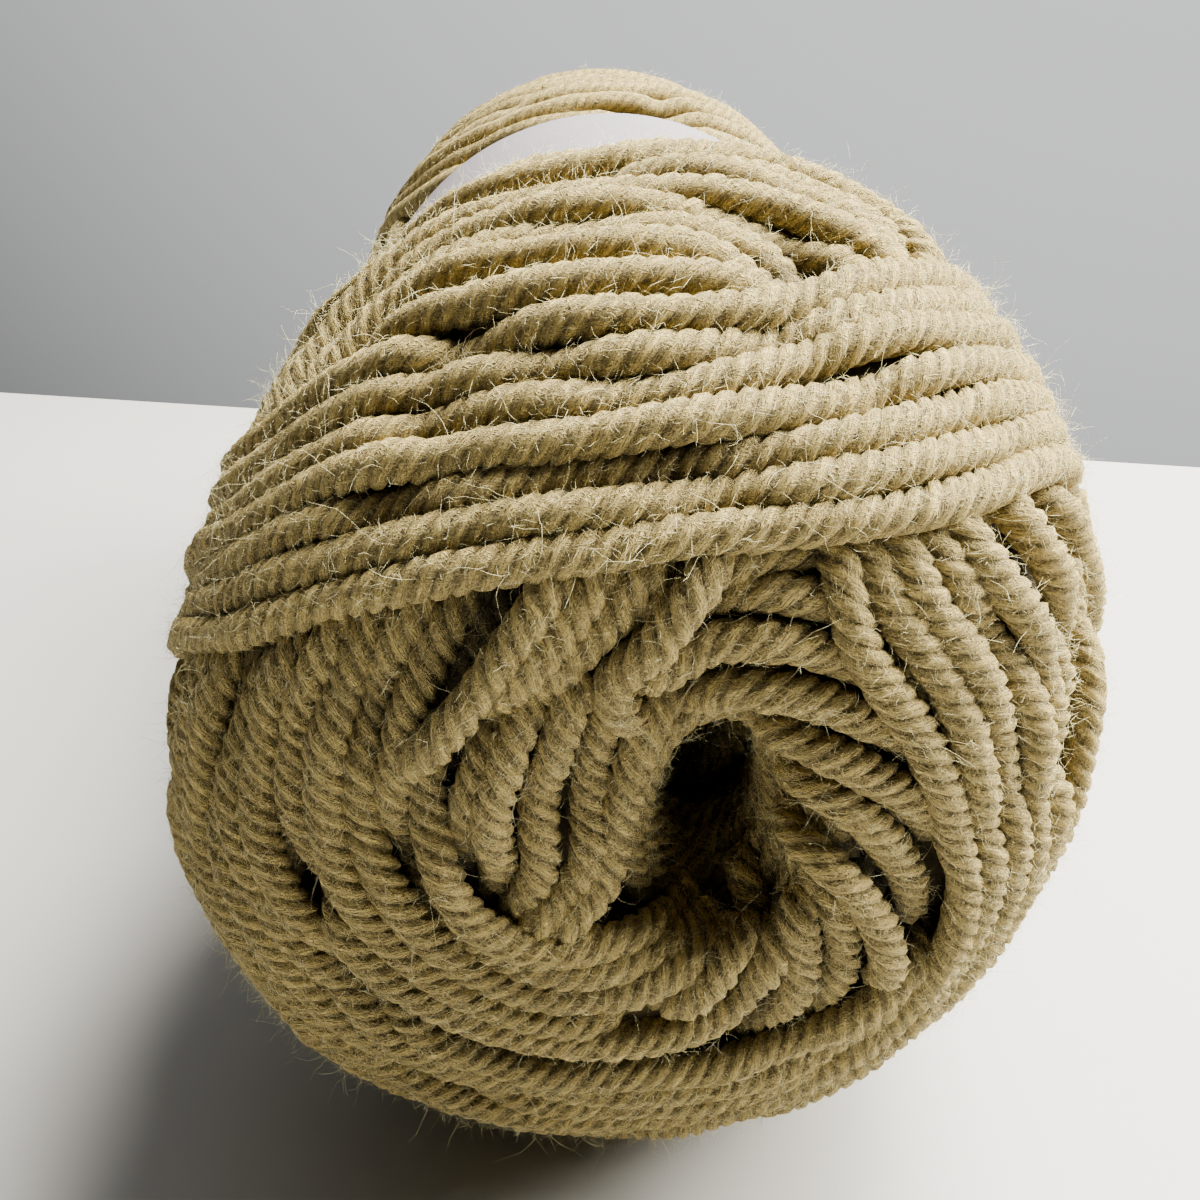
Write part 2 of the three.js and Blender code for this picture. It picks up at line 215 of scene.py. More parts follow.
def outline():
    """Radius and place along the axis, from the hole's floor over the outside to the far dimple."""
    turns = np.linspace(0, math.pi / 2, CURVE_POINTS)
    floor = NEAR_END + HOLE_DEPTH
    rows = [np.stack([HOLE_RADIUS * np.sin(turns), floor - FLOOR_DOME * (1 - np.cos(turns))], 1)]
    face = rim_place(MOUTH_RADIUS, NEAR_RADIUS, NEAR_SQUARENESS, NEAR_END)
    funnel = MOUTH_RADIUS - (MOUTH_RADIUS - HOLE_RADIUS) * np.cos(turns)
    rows.append(np.stack([funnel, face + MOUTH_DEPTH * (1 - np.sin(turns))], 1))
    first = math.asin((MOUTH_RADIUS / NEAR_RADIUS) ** (NEAR_SQUARENESS / 2))
    last = math.asin((DIMPLE_RADIUS / FAR_RADIUS) ** (FAR_SQUARENESS / 2))
    near_turns = np.linspace(first, SHOULDER_TURN, SHOULDER_POINTS)
    far_turns = np.linspace(SHOULDER_TURN, last, SHOULDER_POINTS)
    near = NEAR_END * np.cos(near_turns) ** (2 / NEAR_SQUARENESS)
    far = FAR_END * np.cos(far_turns) ** (2 / FAR_SQUARENESS)
    side = np.linspace(near[-1], far[0], SIDE_POINTS)[1:-1]
    outside = np.concatenate([near[1:], side, far])
    rows.append(np.stack([body_radius(outside), outside], 1))
    share = np.linspace(1, 0, CURVE_POINTS)[1:]
    sunk = far[-1] - DIMPLE_DEPTH * np.cos(math.pi / 2 * share) ** 2
    rows.append(np.stack([DIMPLE_RADIUS * share, sunk], 1))
    line = np.concatenate(rows)
    length = np.concatenate([[0], np.cumsum(np.hypot(*np.diff(line, axis=0).T))])
    even = np.arange(0, length[-1], STEP)
    radius, along = np.interp(even, length, line[:, 0]), np.interp(even, length, line[:, 1])
    rim = int(np.argmax(radius >= MOUTH_RADIUS - 0.01))
    return even - even[rim], radius, along


def oval(y, angle):
    """How much the radius grows or shrinks round the axis."""
    near = 1 / (1 + np.exp((y - BAND_MIDDLE) / OVAL_BLEND))

    def part(shares):
        second = shares[0] * np.cos(2 * angle) + shares[1] * np.sin(2 * angle)
        return second + shares[2] * np.cos(3 * angle) + shares[3] * np.sin(3 * angle)

    return 1 + near * part(NEAR_OVAL) + (1 - near) * part(FAR_OVAL)


def on_body(reach, radius, y, angle):
    """Point of the outer surface; reach is the length along the outline, 0 at the mouth's rim."""
    long = radius * oval(y, angle)
    moved = np.where(y < BAND_MIDDLE, 1 - smooth(*OFFSET_FADE, radius), 0)
    throat = smooth(0, THROAT_LENGTH, -reach)
    across = long * np.cos(angle) * (1 - THROAT_PINCH * throat)
    across = across + HOLE_OFFSET[0] * moved + THROAT_SHIFT[0] * throat
    up = long * np.sin(angle) + HOLE_OFFSET[1] * moved + THROAT_SHIFT[1] * throat
    return np.stack([across, y + 0 * angle, up], -1)


def unit(vectors):
    return vectors / np.linalg.norm(vectors, axis=-1, keepdims=True)


def round_trip(grid):
    """Steps between each point's neighbours round the axis."""
    wrapped = np.concatenate([grid[:, -1:], grid, grid[:, :1]], 1)
    return wrapped[:, 2:] - wrapped[:, :-2]


def blurred(field, sigma_rows, sigma_turns):
    """A field on the surface, softened along the outline by rows and round the axis by angle."""
    waves = np.fft.rfftfreq(field.shape[1], 1 / field.shape[1])
    damp = np.exp(-0.5 * (waves[None, :] * sigma_turns[:, None]) ** 2)
    field = np.fft.irfft(np.fft.rfft(field, axis=1) * damp, n=field.shape[1], axis=1)
    span = int(3 * sigma_rows)
    kernel = np.exp(-0.5 * (np.arange(-span, span + 1) / sigma_rows) ** 2)
    kernel /= kernel.sum()
    padded = np.pad(field, ((span, span), (0, 0)), mode="edge")
    return sum(w * padded[k : k + len(field)] for k, w in enumerate(kernel))


class Body:
    """The outer surface on a grid of lengths along the outline and angles round the axis."""

    def __init__(self):
        self.reach, self.radius, self.along = outline()
        self.angle = np.arange(COLUMNS) * TURN / COLUMNS
        rows = (self.reach[:, None], self.radius[:, None], self.along[:, None])
        self.point = on_body(*rows, self.angle[None, :])
        down = np.gradient(self.point, STEP, axis=0)
        two_columns = 2 * TURN / COLUMNS
        outward = np.cross(round_trip(self.point) / two_columns, down)
        widest = int(np.argmax(self.radius))
        outward *= np.sign(outward[widest, 0, 0])
        outward /= np.linalg.norm(outward, axis=-1, keepdims=True) + TINY
        turns = np.minimum(WAY_OUT_SOFT / np.maximum(self.radius, WAY_OUT_SOFT), 1)
        rows = WAY_OUT_SOFT / STEP
        outward = np.stack([blurred(outward[..., k], rows, turns) for k in range(3)], -1)
        outward /= np.linalg.norm(outward, axis=-1, keepdims=True) + TINY
        self.outward = outward
        self.depth = mix(DEPTH_MOUTH, DEPTH_SIDE, smooth(*DEPTH_FADE, self.reach))
        self.shift = np.zeros(self.point.shape[:2])
        self.crest = np.zeros(self.point.shape[:2])
        self.relief = np.zeros(self.point.shape[:2])
        self.strides = []
        for inward in (0.0, STRIDE_DEPTH):
            moved = self.point - inward * outward
            along = np.linalg.norm(np.gradient(moved, STEP, axis=0), axis=-1)
            turning = np.linalg.norm(round_trip(moved), axis=-1)
            self.strides.append((np.clip(along, *STRIDE_ALONG), turning / two_columns))

    def sample(self, field, reach, angle):
        """A field's values between its grid points."""
        row = np.clip((reach - self.reach[0]) / STEP, 0, len(self.reach) - 1.001)
        column = np.mod(angle, TURN) / TURN * COLUMNS
        i, j = row.astype(int), column.astype(int) % COLUMNS
        a, b = row - i, column - np.floor(column)
        if field.ndim == 1:
            return field[i] * (1 - a) + field[i + 1] * a
        k = (j + 1) % COLUMNS
        if field.ndim == 3:
            a, b = a[:, None], b[:, None]
        low = field[i, j] * (1 - b) + field[i, k] * b
        high = field[i + 1, j] * (1 - b) + field[i + 1, k] * b
        return low * (1 - a) + high * a

    def place(self, reach, angle, height):
        """A point at a height over the base that the strands are laid on, and the way out from it."""
        outward = unit(self.sample(self.outward, reach, angle))
        base = self.sample(self.shift, reach, angle) - self.sample(self.depth, reach, angle)
        lift = height + base
        proud = np.maximum(np.maximum(self.sample(self.crest, reach, angle) + base, lift) - LEVEL, 0)
        lift = np.maximum(lift - proud + PROUD * (1 - np.exp(-proud / PROUD)), -DEEPEST)
        return self.sample(self.point, reach, angle) + lift[:, None] * outward, outward

    def stride(self, reach, angle, height):
        """Lengths that one unit of reach and one of angle stand for at a height in the winding."""
        inward = self.sample(self.depth, reach, angle) - height
        inward = np.clip(inward / STRIDE_DEPTH, *INWARD)
        along, turning = (
            mix(*(self.sample(part, reach, angle) for part in both), inward)
            for both in zip(*self.strides)
        )
        return np.clip(along, *STRIDE_ALONG), np.clip(turning, *STRIDE_ROUND)

    def crossing(self, radius, near):
        """Reach where the outside of the near or the far end has a radius."""
        outer = self.reach > 0
        if near:
            return self.reach[np.argmax(outer & (self.radius >= radius))]
        return self.reach[len(self.radius) - 1 - np.argmax(self.radius[::-1] >= radius)]


# ---------------------------------------------------------------- strand paths


def side_pass(body, start, end, lean_reach, wrap, far_reach, eased_start):
    """One side of a turn from the near end to the far crossing: lengths and angles swept."""
    phase = (np.arange(PASS_STEPS) + 0.5) / PASS_STEPS
    if eased_start:
        share, pace = (1 - np.cos(math.pi * phase)) / 2, math.pi / 2 * np.sin(math.pi * phase)
    else:
        share = np.sin(math.pi / 2 * phase)
        pace = math.pi / 2 * np.cos(math.pi / 2 * phase)
    reach = mix(start, end, share)
    stride = (end - start) * pace / PASS_STEPS
    radius = np.interp(reach, body.reach, body.radius)
    along = np.interp(reach, body.reach, body.along)

    def lean(limit, straightness):
        side = smooth(*NEAR_FACE, along) * smooth(*FAR_FACE, along)
        held = np.minimum(limit, mix(limit, np.minimum(limit, STEEPEST * radius), side))
        clear = np.sqrt(np.maximum(radius**2 - held**2, LEAST_CLEAR))
        free = mix(straightness, 1, smooth(held, held + UNWRAP, radius))
        return held / (free * radius * clear)

    far = smooth(*HANDOVER, along)
    swept = np.cumsum(stride * mix(lean(lean_reach, wrap), lean(far_reach, FAR_WRAP), far))
    return reach, swept, along


def guided(points):
    """A smooth line through (angle in degrees, length along the outline) points."""
    line = np.array(points, float)
    line[:, 0] = np.radians(line[:, 0])
    span = np.hypot(np.diff(line[:, 0]) * GUIDE_RADIUS, np.diff(line[:, 1]))
    knots = np.concatenate([[0], np.cumsum(np.sqrt(span))])
    slope = np.gradient(line, knots, axis=0)
    out = []
    for k in range(len(line) - 1):
        width = knots[k + 1] - knots[k]
        t = np.linspace(0, 1, GUIDE_STEPS // (len(line) - 1) + 2)[:, None]
        out.append(
            (2 * t**3 - 3 * t**2 + 1) * line[k]
            + (t**3 - 2 * t**2 + t) * width * slope[k]
            + (3 * t**2 - 2 * t**3) * line[k + 1]
            + (t**3 - t**2) * width * slope[k + 1]
        )
        out[-1] = out[-1] if k == 0 else out[-1][1:]
    joined = np.concatenate(out)
    return joined[:, 1], joined[:, 0]


def heading(body, reach, angle, last):
    """How near the axis a guided line would come if it ran on straight past its end."""
    before, end = (-4, -1) if last else (3, 0)
    radius = np.interp(reach[end], body.reach, body.radius)
    across = abs(angle[end] - angle[before]) * radius
    along = abs(reach[end] - reach[before])
    return min(MOST_ACROSS, across / math.hypot(across, along)) * radius


def turn_ends(body, near_line, wraps, far_reach):
    """Both side passes of one turn, each as (lengths, angles, places along the axis)."""
    far = body.crossing(far_reach, False)
    passes = []
    for sign, wrap in ((1, wraps[0]), (-1, wraps[1])):
        if near_line["kind"] == "guided":
            reach, angle = near_line["reach"], near_line["angle"]
            k = -1 if sign == 1 else 0
            limit = heading(body, reach, angle, sign == 1)
            start, origin, eased, straight = reach[k], angle[k], False, 1.0
        else:
            limit, origin = near_line["radius"], near_line["angle"]
            start, eased, straight = body.crossing(limit, True), True, wrap
        reach, swept, along = side_pass(body, start, far, limit, straight, far_reach, eased)
        passes.append([reach, origin + sign * swept, along])
    return passes


def bundle_path(body, lines, wraps, far_reaches):
    """One strand through several turns, from far end to far end, closed up at each far crossing."""
    turns = [turn_ends(body, line, wraps, far) for line, far in zip(lines, far_reaches)]
    for k in range(len(turns) - 1):
        leaving, arriving = turns[k][0], turns[k + 1][1]
        gap = (arriving[1][-1] - leaving[1][-1] + math.pi) % TURN - math.pi
        leaving[1] = leaving[1] + gap / 2 * smooth(*CLOSING, leaving[2])
        arriving[1] = arriving[1] - gap / 2 * smooth(*CLOSING, arriving[2])
    reach, angle = [], []

    def join(more_reach, more_angle):
        if reach:
            whole = round((angle[-1][-1] - more_angle[0]) / TURN) * TURN
            more_angle = more_angle + whole
        reach.append(more_reach)
        angle.append(more_angle)

    for line, (leaving, arriving) in zip(lines, turns):
        join(arriving[0][::-1], arriving[1][::-1])
        if line["kind"] == "guided":
            join(line["reach"], line["angle"])
        join(leaving[0], leaving[1])
    return np.concatenate(reach), np.concatenate(angle)


# ---------------------------------------------------------------- laying


def disc_offsets(radius):
    """Spots spread over the disc that a strand covers."""
    offsets = [(0.0, 0.0)]
    for share, count in DISC_RINGS:
        for k in range(count):
            turn = TURN * k / count
            offsets.append((share * radius * math.cos(turn), share * radius * math.sin(turn)))
    return np.array(offsets)


class Winding:
    """Lays strands one after another on the body, each resting on those already there."""

    def __init__(self, body, radius):
        self.body = body
        self.radius = radius
        self.height = np.zeros(body.point.shape[:2])
        self.strands = []

    def spaced(self, reach, angle):
        """The same course in even steps, straying a little to both sides."""
        depth = self.body.sample(self.body.depth, reach, angle)
        point, _ = self.body.place(reach, angle, depth - self.radius)
        length = np.concatenate([[0], np.cumsum(np.linalg.norm(np.diff(point, axis=0), axis=1))])
        even = np.arange(0, length[-1], PATH_STEP)
        reach, angle = np.interp(even, length, reach), np.interp(even, length, angle)
        number = len(self.strands)
        sway = sum(share * np.sin(even / wave + shift * number) for share, wave, shift in SWAYS)
        around = np.interp(reach, self.body.reach, np.maximum(self.body.radius, LEAST_AROUND))
        way = np.hypot(np.gradient(reach), around * np.gradient(angle)) + TINY
        reach = reach + WANDER * sway * around * np.gradient(angle) / way
        return reach, angle - WANDER * sway * np.gradient(reach) / way / around

    def cells(self, reach, angle):
        """Row and column of the grid cell under each point."""
        i = np.clip(np.rint((reach - self.body.reach[0]) / STEP), 0, len(self.body.reach) - 1)
        j = np.rint(np.mod(angle, TURN) / TURN * COLUMNS)
        return i.astype(int), j.astype(int) % COLUMNS

    def settle(self, reach, angle):
        """Height of a strand that rests on what is laid already and bridges its hollows."""
        pressed = self.radius * PRESS
        i, j = self.cells(reach, angle)
        along, turning = self.body.stride(reach, angle, self.height[i, j])
        offsets = disc_offsets(pressed)
        i, j = self.cells(
            reach[:, None] + offsets[None, :, 0] / along[:, None],
            angle[:, None] + offsets[None, :, 1] / turning[:, None],
        )
        sphere = np.sqrt(pressed**2 - (offsets**2).sum(1))
        height = (self.height[i, j] + sphere[None, :]).max(1)
        lifted = height.copy()
        for k in range(1, BRIDGE_STEPS + 1):
            drop = BRIDGE * (k * PATH_STEP) ** 2
            lifted[k:] = np.maximum(lifted[k:], height[:-k] - drop)
            lifted[:-k] = np.maximum(lifted[:-k], height[k:] - drop)
        kernel = np.array([1, 2, 3, 2, 1]) / 9
        for _ in range(2):
            lifted = np.convolve(np.pad(lifted, 2, mode="edge"), kernel, mode="valid")
        return lifted

    def stamp(self, reach, angle, height):
        """Raises the winding's height to the top of a strand, over patches as wide as it needs."""
        pressed = self.radius * PRESS
        along, turning = self.body.stride(reach, angle, height)
        rows = int(math.ceil(pressed / STEP / along.min()))
        need = pressed / turning / (TURN / COLUMNS)
        patch = np.searchsorted(STAMP_COLUMNS[:-1], need)
        for size in np.unique(patch):
            chosen = patch == size
            width = STAMP_COLUMNS[size]
            at, turn, raised = (part[chosen][:, None] for part in (reach, angle, height))
            di, dj = np.meshgrid(np.arange(-rows, rows + 1), np.arange(-width, width + 1))
            i, j = self.cells(at, turn)
            i, j = i + di.ravel(), j + dj.ravel()
            inside = (i >= 0) & (i < len(self.body.reach))
            i = np.clip(i, 0, len(self.body.reach) - 1)
            down = (self.body.reach[i] - at) * along[chosen][:, None]
            turned = j * (TURN / COLUMNS) - np.mod(turn, TURN)
            across = ((turned + math.pi) % TURN - math.pi) * turning[chosen][:, None]
            rest = pressed**2 - (down**2 + across**2)
            inside &= rest > 0
            top = raised + np.sqrt(np.maximum(rest, 0))
            cell = (i * COLUMNS + j % COLUMNS)[inside]
            np.maximum.at(self.height.reshape(-1), cell, top[inside])

    def lay(self, name, reach, angle, sink=(SINK, SINK)):
        """Adds one strand whose ends sink away over these lengths, or not at all where they are 0."""
        reach, angle = self.spaced(reach, angle)
        height = self.settle(reach, angle)
        length = np.arange(len(reach)) * PATH_STEP
        for part, amount in ((length, sink[0]), (length[::-1], sink[1])):
            if amount:
                height = height - SINK_DEPTH * self.radius * (1 - smooth(0, amount, part))
        self.stamp(reach, angle, height)
        self.strands.append({"name": name, "reach": reach, "angle": angle, "height": height})

    def press(self):
        """Moves the whole winding in or out until its outside lies on the body's outline."""
        around = np.maximum(self.body.radius, LEAST_SOFT)
        fine, soft, wide = (
            blurred(self.height, spread / STEP, spread / around) for spread in (FINE, LOCAL, WIDE)
        )
        self.body.relief = RELIEF * np.clip(soft - wide, -RELIEF_LIMIT, RELIEF_LIMIT)
        self.body.shift = self.body.depth[:, None] + self.body.relief - soft - TRIM
        self.body.crest = fine - self.radius * PRESS

    def hidden(self, strand):
        """Where a strand lies too far below its neighbours to be seen between them."""
        reach, angle, height = strand["reach"], strand["angle"], strand["height"]
        along, turning = self.body.stride(reach, angle, height)
        covers = []
        for a in COVER_SPOTS * self.radius:
            for b in COVER_SPOTS * self.radius:
                covers.append(self.height[self.cells(reach + a / along, angle + b / turning)])
        cover = np.sort(covers, axis=0)[UNCOVERED]
        return cover > height + COVERED * self.radius


# ---------------------------------------------------------------- the winding plan


def guide(*points):
    """A line of a strand over the near end that passes through these points."""
    reach, angle = guided(points)
    return {"kind": "guided", "reach": reach, "angle": angle}


def crossing(at, radius):
    """A line of a strand that passes straight over the near end, this far from the axis."""
    return {"kind": "turn", "radius": radius, "angle": math.radians(at)}


def between(first, last, count):
    """Guide points of count strands, shifting evenly from the first strand's to the last's."""
    for k in range(count):
        share = k / max(1, count - 1)
        yield [tuple(mix(a, b, share) for a, b in zip(p, q)) for p, q in zip(first, last)]


# Bundles over the near end, lowest first. Each strand passes through (angle in degrees from +X
# towards +Z, millimetres out from the mouth's rim); "first" and "last" are its outer strands.
# ends says how each strand starts and ends: 0 runs on to the far end, and any other number is the
# length over which it sinks among those below.
PLAN = [
    dict(name="rope", count=5, ends=(4, 4),
         first=[(120, 4), (132, 2), (144, 0.8), (158, 0), (172, 0), (186, -0.4), (199, -0.6),
                (211, 0.6), (222, 3), (232, 6)],
         last=[(92, -4.5), (102, -5), (114, -5.6), (130, -6.2), (150, -6.8), (172, -7), (190, -6.8),
               (206, -6), (220, -4), (233, -1), (244, 3)]),
    dict(name="wall", count=2, ends=(5, 5),
         first=[(264, 3), (259, -3), (256, -9), (258, -17)],
         last=[(300, 2), (296, -4), (296, -10), (300, -18)]),
    dict(name="spill", count=3, ends=(9, 6),
         first=[(252, 13), (270, 11.5), (286, 10), (300, 7.8), (311, 4), (323, -1), (332, -5),
                (340, -9)],
         last=[(272, 21), (287, 19), (301, 16.5), (314, 13.5), (324, 10), (333, 6), (343, 1.5),
               (352, -4)]),
    dict(name="swirl_in", count=5, ends=(8, 7),
         first=[(103, 20), (107, 15), (112, 11), (118, 8.7), (128, 7), (140, 5.5), (153, 4.6),
                (166, 4), (180, 2.7), (193, 1.6), (205, 1), (214, 0), (222, -1), (230, -2.4),
                (236, -4), (241, -6.5), (246, -9), (252, -12)],
         last=[(127, 28), (133, 22.5), (139, 18.5), (148, 17.3), (157, 16.8), (167, 15.8),
               (177, 14.3), (187, 12.8), (199, 11), (211, 9.5), (224, 8), (238, 7), (252, 6.2),
               (268, 5), (286, 4), (301, 2), (313, -2), (320, -7)]),
    dict(name="round_side", count=4, ends=(9, 5),
         first=[(-4, 15), (5, 11), (14, 8), (24, 4.5), (33, 2), (47, -0.5), (60, -2.4), (76, -4),
                (90, -6.5), (100, -10)],
         last=[(-48, 17), (-42, 13), (-36, 10), (-30, 7), (-24, 4), (-14, -0.5), (-6, -4), (0, -7),
               (6, -10), (12, -14)]),
    dict(name="round_top", count=3, ends=(9, 4),
         first=[(16, 16), (25, 11), (34, 7.4), (43, 4.2), (52, 2.7), (60, 2.1), (68, 1.2), (78, -0.2),
                (87, -1.8), (101, -3), (111, -5), (118, -8)],
         last=[(36, 19), (43, 15.5), (50, 12), (56, 10.3), (61, 9.3), (67, 8.3), (73, 7.6), (78, 6.4),
               (86, 4.6), (95, 2.6), (104, 1)]),
    dict(name="fan", count=4, ends=(9, 8),
         first=[(76, 13), (80, 8.5), (86, 4), (94, 0.5), (102, -0.8), (109, -2), (115, -4),
                (120, -7)],
         last=[(97, 15.5), (104, 10), (113, 6.5), (124, 4.8), (136, 4.1), (148, 4.2), (160, 5.2),
               (171, 7)]),
    dict(name="keel", count=7, at=(262, 268), radius=(26, 44), wraps=(0.7, 0.7), far=(38, 20)),
    dict(name="swirl_out", count=4, ends=(9, 9),
         first=[(134, 30), (140, 24), (147, 20.8), (155, 20.4), (163, 19.6), (172, 19),
                (181, 17.6), (190, 16), (201, 14.5), (212, 13.4), (226, 12.8), (243, 11.5),
                (264, 10), (288, 10.5), (310, 12), (330, 13.5), (344, 18), (356, 28)],
         last=[(144, 40), (148, 33), (153, 29.5), (160, 29), (168, 28.8), (176, 28.4),
               (184, 27), (193, 24.5), (203, 22), (214, 20.5), (228, 19.5), (246, 18.5),
               (266, 17.8), (288, 18), (310, 19), (328, 20.5), (342, 26), (354, 36)]),
    dict(name="right", count=7, ends=(0, 9), far=(22, 34),
         first=[(-96, 26), (-78, 19.5), (-62, 17.5), (-44, 16.5), (-28, 15), (-14, 12.5), (-2, 9.5),
                (10, 7.5), (24, 6), (38, 5), (48, 5), (57, 7), (66, 13), (74, 21)],
         last=[(-96, 45), (-78, 38), (-62, 35), (-44, 34), (-28, 33.5), (-14, 33), (0, 32),
               (12, 31), (20, 30), (28, 28.5), (36, 26), (44, 25), (53, 27), (61, 33)]),
    dict(name="flank", count=4, at=(352, 342), radius=(40, 46), wraps=(0.9, 0.9), far=(28, 16)),
    dict(name="crown", count=8, far=(36, 15),
         first=[(42, 36), (54, 38), (64, 41), (73, 45), (82, 47.5), (91, 49.5), (101, 52.5),
                (111, 59), (122, 67), (134, 77)],
         last=[(40, 56), (49, 60), (58, 64), (68, 67), (79, 69), (90, 69.5), (101, 71.5),
               (112, 75), (124, 79), (136, 83)]),
    dict(name="band_edge", count=3, far=(26, 22),
         first=[(44, 46), (54, 47), (63, 55), (70, 59), (79, 59.5), (89, 57.5), (98, 58.5),
                (108, 64), (120, 74), (134, 86)],
         last=[(42, 33), (52, 33.5), (64, 33), (76, 32.6), (86, 32.6), (96, 33.5), (106, 35.5),
               (117, 39), (129, 43), (142, 49)]),
    dict(name="hoop", count=4, far=(30, 22),
         first=[(42, 42), (52, 37.5), (64, 35.8), (76, 36), (86, 37), (95, 38.5), (105, 41),
                (115, 43), (124, 41), (132, 36), (140, 31), (152, 28), (168, 27), (186, 26.5),
                (205, 25), (222, 25), (238, 27), (254, 36)],
         last=[(42, 40), (56, 41.5), (70, 43), (82, 45), (94, 47.5), (104, 50), (114, 51.5),
               (124, 50), (133, 46), (141, 41), (150, 37.5), (162, 35), (176, 34), (190, 33.5),
               (206, 32), (222, 31), (238, 33), (254, 42)]),
    dict(name="far_sash", count=8, ends=(9, 9),
         first=[(12, 190), (32, 160), (56, 141), (82, 133.5), (104, 132.5), (128, 138), (149, 153),
                (168, 180)],
         last=[(24, 215), (42, 190), (63, 170), (86, 160), (106, 159), (127, 166), (145, 182),
               (160, 205)]),
    dict(name="sash_back", count=3, far=(24, 30),
         first=[(46, 50), (55, 40), (65, 32), (76, 25.5), (86, 22.3), (96, 22), (106, 24),
                (118, 27.5), (132, 32.5), (146, 39), (157, 50)],
         last=[(50, 54), (60, 43), (69, 35.5), (78, 30.5), (87, 29), (96, 29.5), (105, 31.3),
               (115, 34), (127, 38), (140, 44), (152, 56)]),
    dict(name="sash", count=4, far=(15, 24),
         first=[(36, 41), (44, 31), (52, 21.5), (62, 14), (76, 9.5), (92, 8.5), (108, 10),
                (124, 14), (140, 20.5), (154, 28.5), (165, 40)],
         last=[(42, 48), (50, 39), (57, 32.5), (66, 26), (76, 21.3), (88, 18.7), (98, 18.7),
               (110, 21.3), (124, 25.8), (140, 32.5), (153, 42)]),
]


def plan_lines(row):
    """Lines of every strand of a bundle, one after another."""
    if "at" in row:
        ats = np.linspace(*row["at"], row["count"])
        radii = np.linspace(*row["radius"], row["count"])
        return [crossing(a, r) for a, r in zip(ats, radii)]
    return [guide(*points) for points in between(row["first"], row["last"], row["count"])]


def lay_plan(winding, row):
    """Lays one bundle: as a single run where it has no loose ends, else strand by strand."""
    lines = plan_lines(row)
    wraps = row.get("wraps", (1, 1))
    fars = np.linspace(*row.get("far", (0, 0)), row["count"])  # not needed where both ends sink
    start, end = row.get("ends", (0, 0))
    if not (start or end):
        winding.lay(row["name"], *bundle_path(winding.body, lines, wraps, fars))
        return
    for line, far in zip(lines, fars):
        reach, angle = line["reach"], line["angle"]
        if not start:
            arriving = turn_ends(winding.body, line, wraps, far)[1]
            reach = np.concatenate([arriving[0][::-1], reach])
            angle = np.concatenate([arriving[1][::-1], angle])
        winding.lay(row["name"], reach, angle, (start or SINK, end or SINK))


def lay_lining(winding):
    """Strands down the wall of the hole, and a flat coil in the far dimple."""
    top, bottom = LINING_SPAN
    reach = np.linspace(bottom, top, LINING_POINTS)
    for k in range(LININGS):
        angle = k * TURN / LININGS + LINING_LEAN * (reach - bottom) / (top - bottom)
        winding.lay("lining", reach, angle, sink=(0, 0))
    down = np.linspace(0, 1, SPRING_POINTS)
    reach = mix(*SPRING_SPAN, down)
    winding.lay("lining", reach, -SPRING_TURNS * TURN * down, sink=(SPRING_SINK, 0))
    out = np.linspace(0, 1, COIL_POINTS)
    reach = winding.body.reach[-1] - mix(*COIL_SPAN, out)
    winding.lay("coil", reach, COIL_TURNS * TURN * np.sqrt(out), sink=(0, 0))


def lay_base(winding, rng, layers):
    """Adjacent turns laid again and again where the winding is still lowest."""
    body = winding.body
    area = body.strides[0][1] * (body.reach[:, None] > BASE_FROM)
    while (winding.height * area).sum() / area.sum() < layers:
        tries = []
        for _ in range(BASE_TRIES):
            at = rng.uniform(0, 360)
            radius = rng.choice(BASE_RADII) + rng.uniform(-BASE_STRAY, BASE_STRAY)
            far = rng.uniform(*BASE_FAR)
            wrap = rng.uniform(*BASE_WRAP)
            step = BASE_SPACING if radius < BASE_OUTER else -BASE_SPACING
            far_step = BASE_SPACING if far < BASE_FAR_OUTER else -BASE_SPACING
            lines = [crossing(at + BASE_TURN * k, radius + step * k) for k in range(BASE_COUNT)]
            fars = [far + far_step * k for k in range(BASE_COUNT)]
            path = bundle_path(body, lines, (wrap, wrap), fars)
            tries.append((winding.height[winding.cells(*path)].mean(), path))
        winding.lay("base", *min(tries, key=lambda one: one[0])[1])


def wind(radius, seed, base_height):
    """The whole skein: lining, under layers, then the bundles of the plan."""
    winding = Winding(Body(), radius)
    rng = np.random.default_rng(seed)
    lay_lining(winding)
    lay_base(winding, rng, base_height)
    for row in PLAN:
        lay_plan(winding, row)
    winding.press()
    return winding


# ---------------------------------------------------------------- meshes


def make_mesh(name, points, faces, corners=None):
    """A smooth mesh object from points round the skein's axis and arrays of equal-sided faces.

    corners holds the name and the values, per face corner, of each UV map.
    """
    points = (points + AXIS_AT) * MM
    mesh = bpy.data.meshes.new(name)
    mesh.vertices.add(len(points))
    mesh.vertices.foreach_set("co", np.ascontiguousarray(points, np.float32).ravel())
    loops = np.concatenate([f.ravel() for f in faces])
    totals = np.concatenate([np.full(len(f), f.shape[1]) for f in faces])
    starts = np.concatenate([[0], np.cumsum(totals)[:-1]])
    mesh.loops.add(len(loops))
    mesh.loops.foreach_set("vertex_index", loops.astype(np.int32))
    mesh.polygons.add(len(totals))
    mesh.polygons.foreach_set("loop_start", starts.astype(np.int32))
    mesh.polygons.foreach_set("loop_total", totals.astype(np.int32))
    mesh.update(calc_edges=True)
    for layer, values in (corners or {}).items():
        uv = mesh.uv_layers.new(name=layer)
        joined = np.concatenate([v.reshape(-1, 2) for v in values])
        uv.data.foreach_set("uv", np.ascontiguousarray(joined, np.float32).ravel())
    mesh.polygons.foreach_set("use_smooth", np.ones(len(totals), bool))
    mesh.validate()
    obj = bpy.data.objects.new(name, mesh)
    bpy.context.collection.objects.link(obj)
    return obj


